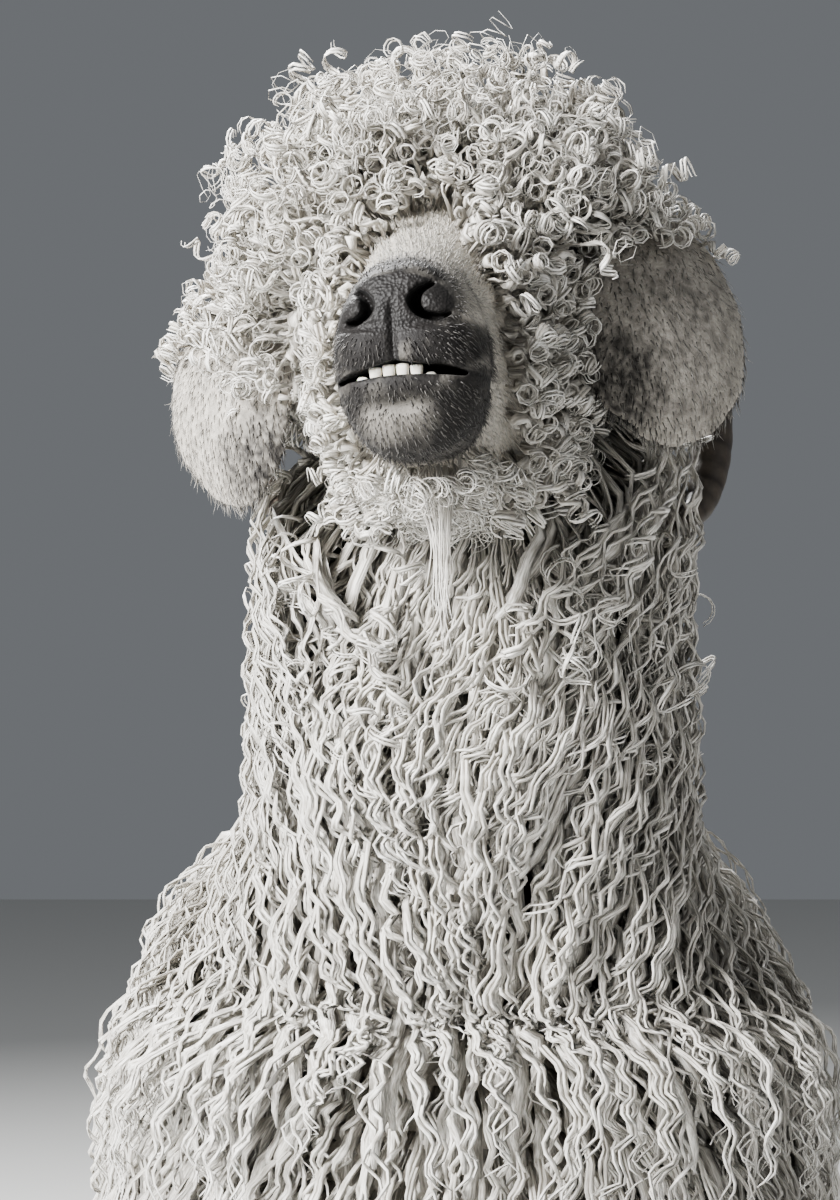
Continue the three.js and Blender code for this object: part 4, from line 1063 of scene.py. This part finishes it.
def leg_wool(coat):
    for name, loft in legs.items():
        end = KNEE_Z if name.startswith("fore") else HOCK_Z

        def depth(places, outs, end=end):
            return 5 + LEG_WOOL * smoothstep(places[:, 2] / MM, end - 40, 350)

        def above(places, outs, end=end):
            return places[:, 2] > end * MM

        style = {**BROAD, "length": (45, 85), "width": 4.8, "steps": 15, "waves": (2.2, 3.4)}
        fleece(coat, loft, name, (20, 12, 0.05, 0.5), style, depth, above, (0, 0.1, 0))
        under = {**UNDER, "length": (30, 50)}
        fleece(coat, loft, name, (18, 18, 0.05, 0.48), under, depth, above)


def tail_wool(coat):
    style = {**LOOSE, "length": (34, 56), "steps": 13, "waves": (1.8, 2.8), "width": 4.4}

    def depth(places, outs):
        return np.full(len(places), TAIL_WOOL)

    fleece(coat, tail, "tail", (8, 7, 0.04, 0.98), style, depth, sweep=(0, 0.5, 0))


def ringlet_strands(coat, places, outs, uv, island, depth, style):
    """Corkscrew ringlets: each leaves the skin, winds outwards and droops."""
    count, steps, strands = len(places), style["steps"], style["strands"]
    t = np.linspace(0, 1, steps)[None] ** 0.5
    down = np.array([0.0, -0.25, -1.0])
    lie = unit(down - outs * (outs @ down)[:, None])
    droop = rng.uniform(*style["droop"], count)
    length = depth * rng.uniform(0.9, 1.12, count)
    start = unit(outs + rng.normal(0, style.get("lean", 0.1), (count, 3)))
    axis = start[:, None] * (1 - t[..., None] ** 1.4 * 0.8)
    axis = axis + lie[:, None] * (droop[:, None] * t**1.2)[..., None]
    tilt = rng.normal(0, style.get("lean", 0.1) * 2.4, (count, 1, 3))
    axis = unit(axis + tilt * smoothstep(t, 0.3, 0.9)[..., None])
    # A ringlet runs out fast near its root and slowly at its tip, so its last turns close into rings.
    stride = (np.diff(t[0], prepend=0) * (1.65 - 1.3 * t[0]))[None, :, None]
    path = places[:, None] + np.cumsum(axis * length[:, None, None] * stride, axis=1)
    broad = unit(np.cross(axis, lie[:, None] + 0.01))
    deep = np.cross(axis, broad)
    turns = rng.uniform(*style["turns"], count)[:, None]
    phase = rng.uniform(0, 2 * np.pi, count)[:, None]
    hand = np.where(rng.random(count) < 0.5, 1.0, -1.0)[:, None]
    radius = rng.uniform(*style["curl"], count)[:, None] * MM
    opened = np.clip(0.15 + 1.2 * t, 0, 1)
    # Each ringlet gets a random tone. A low tone also stands for painted shade, as on the padding.
    tone_and_shade = np.clip(rng.normal(style.get("tone_and_shade", 0.8), 0.18, count), 0, 1)
    for number in range(strands):
        slip = (number - (strands - 1) / 2) * style["spread"] * MM
        slip = slip * rng.uniform(0.7, 1.3, count)[:, None]
        own = radius * opened * rng.uniform(0.85, 1.12, count)[:, None]
        angle = phase + hand * 2 * np.pi * turns * t**2.1 + rng.normal(0, 0.16, count)[:, None]
        wheel = broad * np.cos(angle)[..., None] + deep * np.sin(angle)[..., None]
        centre = path + wheel * own[..., None] + axis * (slip * opened)[..., None]
        body = np.sin(np.pi * np.clip(0.2 + 0.78 * t, 0, 1)) ** 0.5
        size = rng.uniform(0.75, 1.25, count)[:, None] * style["width"] * MM / 2 * body
        shade = np.clip(tone_and_shade + rng.normal(0, 0.1, count), 0, 1)
        coat.add(centre, wheel, size * style.get("flat", 0.5), size, island, uv, shade, np.zeros(count))


# Kinds of ringlet, in the same measures as the locks. Turns are the windings, droop is how far a
# ringlet sinks, and lean its disorder.
TIGHT = {
    "turns": (1.9, 3.0), "curl": (2.9, 4.8), "spread": 1.4, "width": 2.1, "droop": (0.0, 0.7), "steps": 23,
    "strands": 2, "lean": 0.22,
}
FRIZZ = {**TIGHT, "turns": (2.2, 3.8), "curl": (3.0, 6.0), "width": 0.7, "strands": 1, "steps": 20}
# Padding fills the depth of the mop. Its low tone is painted shade: it is dark, like the shadowed inside of
# the mop.
PADDING = {
    "turns": (0.6, 1.2), "curl": (1.5, 4), "spread": 1, "width": 6, "droop": (0.3, 1.2), "steps": 7,
    "strands": 1, "flat": 0.6, "tone_and_shade": 0.3,
}


def curls(coat, loft, island, rows, style, depth, keep, gap=0.006):
    places, outs, uv = rooted(loft, HEAD_PLACE, loft.roots(*rows), gap)
    local = head_frame(places)
    kept = keep(local)
    places, outs, uv = places[kept], outs[kept], uv[kept]
    reach = depth(local[kept]) * MM * rng.uniform(0.76, 1.0, len(places))
    ringlet_strands(coat, places, outs, uv, island, reach, style)


def clear_of_ears(local):
    kept = np.ones(len(local), bool)
    for side in (1, -1):
        kept &= np.linalg.norm(local - np.array((side * 62, 184, 70)), axis=1) > 8
    return kept


def mop_ringlets(coat):
    def depth(local):
        left = np.maximum(local @ np.array([0.7, 0, 0.7]) - 95, 0)
        right = np.maximum(local @ np.array([-0.7, 0, 0.7]) - 86, 0)
        return MOP_WOOL + 0.9 * left + 1.5 * right

    def behind_bridge(local):
        x, y, z = local.T
        over_bridge = (y < 118) & (np.abs(x) < 18) & (z < 74)
        over_left_ear = (x > 38) & (y < 190) & (z < 62)
        return clear_of_ears(local) & ~over_bridge & ~over_left_ear

    curls(coat, mop, "mop", (7.6, 7.6, 0.03, 0.985), TIGHT, depth, behind_bridge)
    curls(coat, mop, "mop", (10, 10, 0.03, 0.985), FRIZZ, depth, behind_bridge)
    curls(coat, mop, "mop", (9, 9, 0.03, 0.985), PADDING, lambda at: depth(at) * 0.5, behind_bridge)


def cheek_ringlets(coat):
    """Smaller curls from the brow down the cheeks, and over the roots of the ears."""
    style = {**TIGHT, "turns": (1.6, 2.5), "droop": (0.2, 1.1), "steps": 18}

    def on_cheek(local):
        x, y, z = local.T
        nearer = 60 * smoothstep(np.abs(x + 4), 10, 30) + 14 * (x < -10)
        kept = (y > 104 - nearer) & ((z > -34) | (np.abs(x) > 30)) & ((y > 90) | (z > -16))
        for side in (1, -1):
            kept &= np.linalg.norm(local - np.array(eye_place(side)), axis=1) > 16
        return kept

    def depth(local):
        beside_ear = smoothstep(np.abs(local[:, 0]), 28, 44) * (1 - smoothstep(local[:, 2], 45, 75))
        return (17 + 22 * smoothstep(local[:, 1], 50, 140)) * (1 - 0.6 * beside_ear)

    curls(coat, skull, "skull", (8, 8, 0.05, 0.56), style, depth, on_cheek, 0.004)
    curls(coat, skull, "skull", (9, 9, 0.05, 0.56), PADDING, lambda at: depth(at) * 0.5, on_cheek, 0.004)

    def everywhere(local):
        return np.ones(len(local), bool)

    def over_ear(local):
        return np.full(len(local), EAR_WOOL)

    fall = {**style, "turns": (1.5, 2.5), "droop": (1.6, 3.0), "steps": 16}
    for side, name, low in ((1, "ear_left", 0.46), (-1, "ear_right", 0.55)):
        curls(coat, ears[side], name, (8, 7.5, 0.12, low), fall, over_ear, everywhere)


def nape_curls(coat):
    """Big loose curls on the sides of the upper neck."""
    places, outs, uv = rooted(neck, BODY_PLACE, neck.roots(14, 11, 0.5, 0.98))
    kept = (np.abs(outs[:, 0]) > 0.3) & (places[:, 2] > 0.67)
    places, outs, uv = places[kept], outs[kept], uv[kept]
    style = {**TIGHT, "turns": (1.3, 2.3), "curl": (4.5, 8), "droop": (1.0, 2.4), "steps": 22}
    ringlet_strands(coat, places, outs, uv, "neck", rng.uniform(0.046, 0.062, len(places)), style)


def throat_hair(coat):
    """Fine, loosely curled hair under the jaw."""
    places, outs, uv = rooted(skull, HEAD_PLACE, skull.roots(7, 5, 0.3, 0.9), 0.004)
    x, y, z = head_frame(places).T
    kept = (z < -26) & (y > 26) & (y < 175) & (np.abs(x) < 46)
    places, outs, uv = places[kept], outs[kept], uv[kept]
    style = {
        **TIGHT, "turns": (0.7, 1.5), "curl": (3.0, 5.5), "droop": (0.6, 1.8), "steps": 13, "width": 1.3,
        "strands": 3, "spread": 2.2, "tone_and_shade": 0.95,
    }
    ringlet_strands(coat, places, outs, uv, "skull", rng.uniform(0.012, 0.024, len(places)), style)


def short_fur(coat, loft, place, island, spacing, keep, flow, length, width, lift=0.12):
    """Small flat tufts of short hair, which follow the flow and rise by a share of their length."""
    places, outs, uv = rooted(loft, place, loft.roots(spacing, spacing, 0.02, 0.99), 0.004)
    kept = keep(places, outs)
    places, outs, uv = places[kept], outs[kept], uv[kept]
    count = len(places)
    way = flow(places)
    way = unit(way - outs * (way * outs).sum(axis=1, keepdims=True) + rng.normal(0, 0.16, (count, 3)))
    shorter = 1 - 0.4 * (1 - smoothstep(head_frame(places)[:, 1], 20, 60))
    reach = (rng.uniform(0.7, 1.3, count) * shorter * length * MM)[:, None, None]
    t = np.array([0, 0.45, 1.0])[None, :, None]
    rise = np.array([-0.08, lift, lift * 1.3])[None, :, None]
    centre = places[:, None] + way[:, None] * reach * t + outs[:, None] * reach * rise
    size = np.array([1.0, 0.85, 0.08])[None] * width * MM / 2 * rng.uniform(0.7, 1.3, count)[:, None]
    shade = rng.uniform(0.45, 1, count)
    pigment_and_shade = np.clip(pigment_and_shade_at(places) * rng.uniform(0.84, 1.08, count), 0, 1)
    broad = np.broadcast_to(outs[:, None], centre.shape)
    coat.add(centre, broad, size * 0.5, size, island, uv, shade, pigment_and_shade)


def face_fur(coat):
    """Short hair of the face: back over the bridge, outwards on the lip, and fanned down the chin."""
    turn = np.array(head_pose)[:3, :3]

    def along_face(places):
        x, y, z = head_frame(places).T
        own = (x - nose_middle(y)) / 25
        bridge = smoothstep(z, 24, 34)[:, None]
        flank = smoothstep(y, 18, 40)[:, None]
        over = np.stack([0.2 * own, np.full(len(x), 0.9), np.full(len(x), 0.35)], -1)
        fan = np.stack([0.85 * own, np.full(len(x), 0.35), np.full(len(x), -0.9)], -1)
        aside = np.stack([0 * own, np.full(len(x), 0.8), np.full(len(x), -0.5)], -1)
        way = over * bridge + (fan * (1 - flank) + aside * flank) * (1 - bridge)
        return way @ turn.T

    def on_face(places, outs):
        x, y, z = head_frame(places).T
        high, low = lip_edges(x)
        return (y < 116) & (bare_at(places) < 0.4) & ((z > high + 0.8) | (z < low - 0.8) | (y > 48))

    short_fur(coat, skull, HEAD_PLACE, "skull", 1.9, on_face, along_face, 5.0, 0.62)


def ear_fur(coat):
    def downwards(places):
        return np.tile(np.array([0.05, 0, -1.0]), (len(places), 1))

    def everywhere(places, outs):
        return np.ones(len(places), bool)

    for side, name in ((1, "ear_left"), (-1, "ear_right")):
        short_fur(coat, ears[side], HEAD_PLACE, name, 2.9, everywhere, downwards, 5.5, 0.6, 0.09)


def shank_fur(coat):
    def downwards(places):
        return np.tile(np.array([0, 0, -1.0]), (len(places), 1))

    for name, loft in legs.items():
        end = KNEE_Z if name.startswith("fore") else HOCK_Z

        def below(places, outs, end=end):
            return (places[:, 2] < (end + 12) * MM) & (places[:, 2] > (HOOF_TOP + 2) * MM)

        short_fur(coat, loft, BODY_PLACE, name, 5.5, below, downwards, 11, 1.6)


def beard(coat):
    """The thin beard: a flat wisp of long hairs that draws together under the chin."""
    count, steps = 30, 14
    start_x, start_y = rng.uniform(-2, 17, (count, 1)), rng.uniform(26, 44, (count, 1))
    reach = rng.uniform(20, 74, (count, 1))
    t = np.linspace(0, 1, steps)[None]
    draw = 1 - 0.8 * smoothstep(t, 0, 0.75)
    bend, phase = rng.normal(0, 1.4, (count, 1)), rng.uniform(-0.8, 0.8, (count, 1))
    x = 4 + (start_x - 11) * draw + 1.6 * np.sin(7 * t * reach / 74 + phase) * t + bend * t**2
    y = start_y + 4 * t
    z = -33 - 0.12 * (start_y - 26) - reach * t
    centre = placed(np.stack([x, y, z], -1).reshape(-1, 3), HEAD_PLACE).reshape(count, steps, 3)
    size = 0.42 * MM * np.sin(np.pi * np.clip(0.25 + 0.74 * t, 0, 1)) ** 0.6 * np.ones((count, 1))
    flat = np.broadcast_to(np.array([1.0, 0, 0]), centre.shape)
    uv = np.stack([rng.random(count), rng.random(count)], -1)
    shade = rng.uniform(0.4, 0.9, count)
    coat.add(centre, flat, size, size * 0.6, "beard", uv, shade, np.zeros(count))


for name, makers in (
    ("neck_fleece", (neck_and_breast,)),
    ("body_fleece", (trunk, leg_wool, tail_wool)),
    ("head_ringlets", (mop_ringlets, cheek_ringlets, nape_curls, throat_hair, beard)),
    ("short_fur", (face_fur, ear_fur, shank_fur)),
):
    coat = Coat(name)
    for maker in makers:
        maker(coat)
    coat.build()


# Eyes, horns, hooves and teeth
def piece_from(name, parts, place):
    made = fused(name, parts)
    set_coordinates(made, placed(coordinates(made), place))
    made.data.shade_smooth()
    return made


IRIS_RADIUS = 7.2
PUPIL = (5.4, 1.6)  # half length and half height of the slot
HORN_SIDES = 28
HORN_STEPS = 150
HORN_RINGS = 16
CLAW_SPREAD = 10.6  # from the middle of a hoof to that of each half


for side, word in ((1, "left"), (-1, "right")):
    eye = fused(f"eyeball_{word}", [ball(eye_place(side), EYE_RADIUS - 0.2, 48, 24)])
    local = coordinates(eye) - np.array(eye_place(side))
    look = np.array(eye_look(side))
    front = local @ look
    level = local[:, 2] - front * look[2]
    along = local - front[:, None] * look
    cornea = np.clip(front - 0.72 * EYE_RADIUS, 0, None)
    bulged = local + look * (0.35 * cornea)[:, None]
    set_coordinates(eye, placed(bulged + np.array(eye_place(side)), HEAD_PLACE))
    away = np.linalg.norm(along, axis=1)
    add_value(eye, "iris", (1 - smoothstep(away, IRIS_RADIUS, IRIS_RADIUS + 1.4)) * (front > 0))
    flat = np.sqrt(np.maximum(away**2 - level**2, 0))
    slot = 1 - smoothstep(np.abs(level) - PUPIL[1], 0, 0.5)
    slot = slot * (1 - smoothstep(flat, PUPIL[0], PUPIL[0] + 0.8))
    add_value(eye, "pupil", slot * (front > 0))
    eye.data.shade_smooth()
    dressed(eye, wet_eye, "eye", f"eye_{word}")

    loft = Loft(HORN_LEFT if side > 0 else mirrored(HORN_RIGHT), across=(-0.75 * side, 0.2, 0.2))
    horn = fused(f"horn_sheath_{word}", [loft.mesh(HORN_SIDES, HORN_STEPS)])
    local = coordinates(horn)
    v = np.repeat(np.linspace(0, 1, HORN_STEPS + 1)[1:-1], HORN_SIDES)
    v = np.concatenate([v, [0, 1]])
    rings = np.abs(np.sin(2 * np.pi * (HORN_RINGS * v + 0.6 * v**2))) ** 0.5
    middle = loft.curve(loft.spine, v)
    away = local - middle
    shrink = 1 - (0.055 * (1 - rings)) * (1 - smoothstep(v, 0.7, 1))
    set_coordinates(horn, placed(middle + away * shrink[:, None], HEAD_PLACE))
    add_value(horn, "ring", 1 - rings)
    horn.data.shade_smooth()
    dressed(horn, horn_keratin, "horn", f"horn_{word}")

for which, stations in (("fore", FORE_LEG), ("hind", HIND_LEG)):
    for side, word in ((1, "left"), (-1, "right")):
        low = stations[-2]
        for off, name in ((-side, "inner"), (side, "outer")):
            x = side * low[0] + off * CLAW_SPREAD
            y = low[1]
            rows = [
                (x, y - 8, -14, 0, 0, 0), (x, y - 8, -8, 10.4, 26, 20), (x, y - 6, 12, 10.2, 23, 19),
                (x, y - 2, 34, 9.8, 17, 17), (x, y, 50, 9, 12, 12), (x, y, 56, 0, 0, 0),
            ]
            points, faces = Loft(rows, power=(1.25, 0.8)).mesh(32, 60)
            points[:, 2] = np.clip(points[:, 2], 0, HOOF_TOP + 2)
            hoof = piece_from(f"hoof_{which}_{word}_{name}", [(points, faces)], BODY_PLACE)
            dressed(hoof, hoof_keratin, "hoof", f"{which}_hoof_{word}_{name}")
        rear = stations[8][1] + 19
        claws = []
        for off in (-1, 1):
            x = side * stations[8][0] + off * 8
            rows = [
                (x, rear - 14, 84, 0, 0, 0), (x, rear - 8, 82, 6, 6, 6), (x, rear + 1, 74, 5, 5, 5),
                (x, rear + 3, 68, 0, 0, 0),
            ]
            claws.append(Loft(rows).mesh(16, 16))
        pair = piece_from(f"dewclaws_{which}_{word}", claws, BODY_PLACE)
        dressed(pair, hoof_keratin, "hoof")

TOOTH_WIDTH = 5.8
TEETH = 6
teeth = []
for number in range(TEETH):
    place = number - (TEETH - 1) / 2
    x = place * (TOOTH_WIDTH - 0.8)
    y = 1.8 + 0.012 * x * x
    x += NOSE_MIDDLE
    half = TOOTH_WIDTH * 0.42
    top = 2.7 - 0.13 * place**4
    rows = [
        (x, y + 2.0, -7.0, 0, 0, 0), (x, y + 1.4, -6.0, half * 0.6, 1.5, 1.5),
        (x, y + 0.6, -2.5, half * 0.85, 1.7, 1.7), (x, y, top - 1.3, half, 1.6, 1.6),
        (x, y - 0.1, top - 0.35, half * 0.9, 1.2, 1.2), (x, y - 0.1, top, 0, 0, 0),
    ]
    teeth.append(Loft(rows, power=(0.8, 0.8)).mesh(20, 24))
dressed(piece_from("front_teeth", teeth, HEAD_PLACE), tooth_enamel, "tooth", "incisors")


# Room: a pale floor, soft light from the upper left and the photograph's point of view.
def stage_floor():
    floor = object_of("floor", [(-6, -6, 0), (6, -6, 0), (6, 6, 0), (-6, 6, 0)], [(0, 1, 2, 3)])
    material, tree, surface = new_material("pale_floor", Roughness=0.85)
    surface.inputs["Base Color"].default_value = linear("#C9C9C7")
    floor.data.materials.append(material)


def softbox(name, place, aim, size, power):
    light = bpy.data.lights.new(name, "AREA")
    light.energy = power
    light.shape = "DISK"
    light.size = size
    lamp = bpy.data.objects.new(name, light)
    lamp.location = place
    lamp.rotation_euler = (Vector(aim) - Vector(place)).to_track_quat("-Z", "Y").to_euler()
    bpy.context.scene.collection.objects.link(lamp)


# Each light's place and aim in metres, its width and its power in watts.
stage_floor()
softbox("key", (-1.75, -1.75, 1.8), (0, -0.35, 0.65), 1.1, 215)
softbox("rim", (-0.7, 1.6, 2.4), (0, -0.3, 0.85), 0.8, 170)
softbox("fill", (2.2, -2.2, 1.2), (0, -0.3, 0.6), 1.8, 12)

world = bpy.data.worlds.new("studio")
world.use_nodes = True
backdrop = world.node_tree.nodes["Background"]
backdrop.inputs["Color"].default_value = linear("#BFC3C8")
backdrop.inputs["Strength"].default_value = 0.3
bpy.context.scene.world = world

CAMERA_LENS = 95.8
CAMERA_AT = (-22, -1674, 714)  # level with her throat, about 1.15 m in front of the muzzle

camera = bpy.data.cameras.new("camera")
camera.lens = CAMERA_LENS
camera.sensor_width = 36
camera.clip_end = 50
eye_point = bpy.data.objects.new("camera", camera)
eye_point.location = to_world @ Vector(CAMERA_AT)
eye_point.rotation_euler = (math.radians(90), 0, 0)
bpy.context.scene.collection.objects.link(eye_point)
bpy.context.scene.camera = eye_point
bpy.context.scene.view_settings.view_transform = "AgX"
bpy.context.scene.view_settings.look = "AgX - Medium High Contrast"
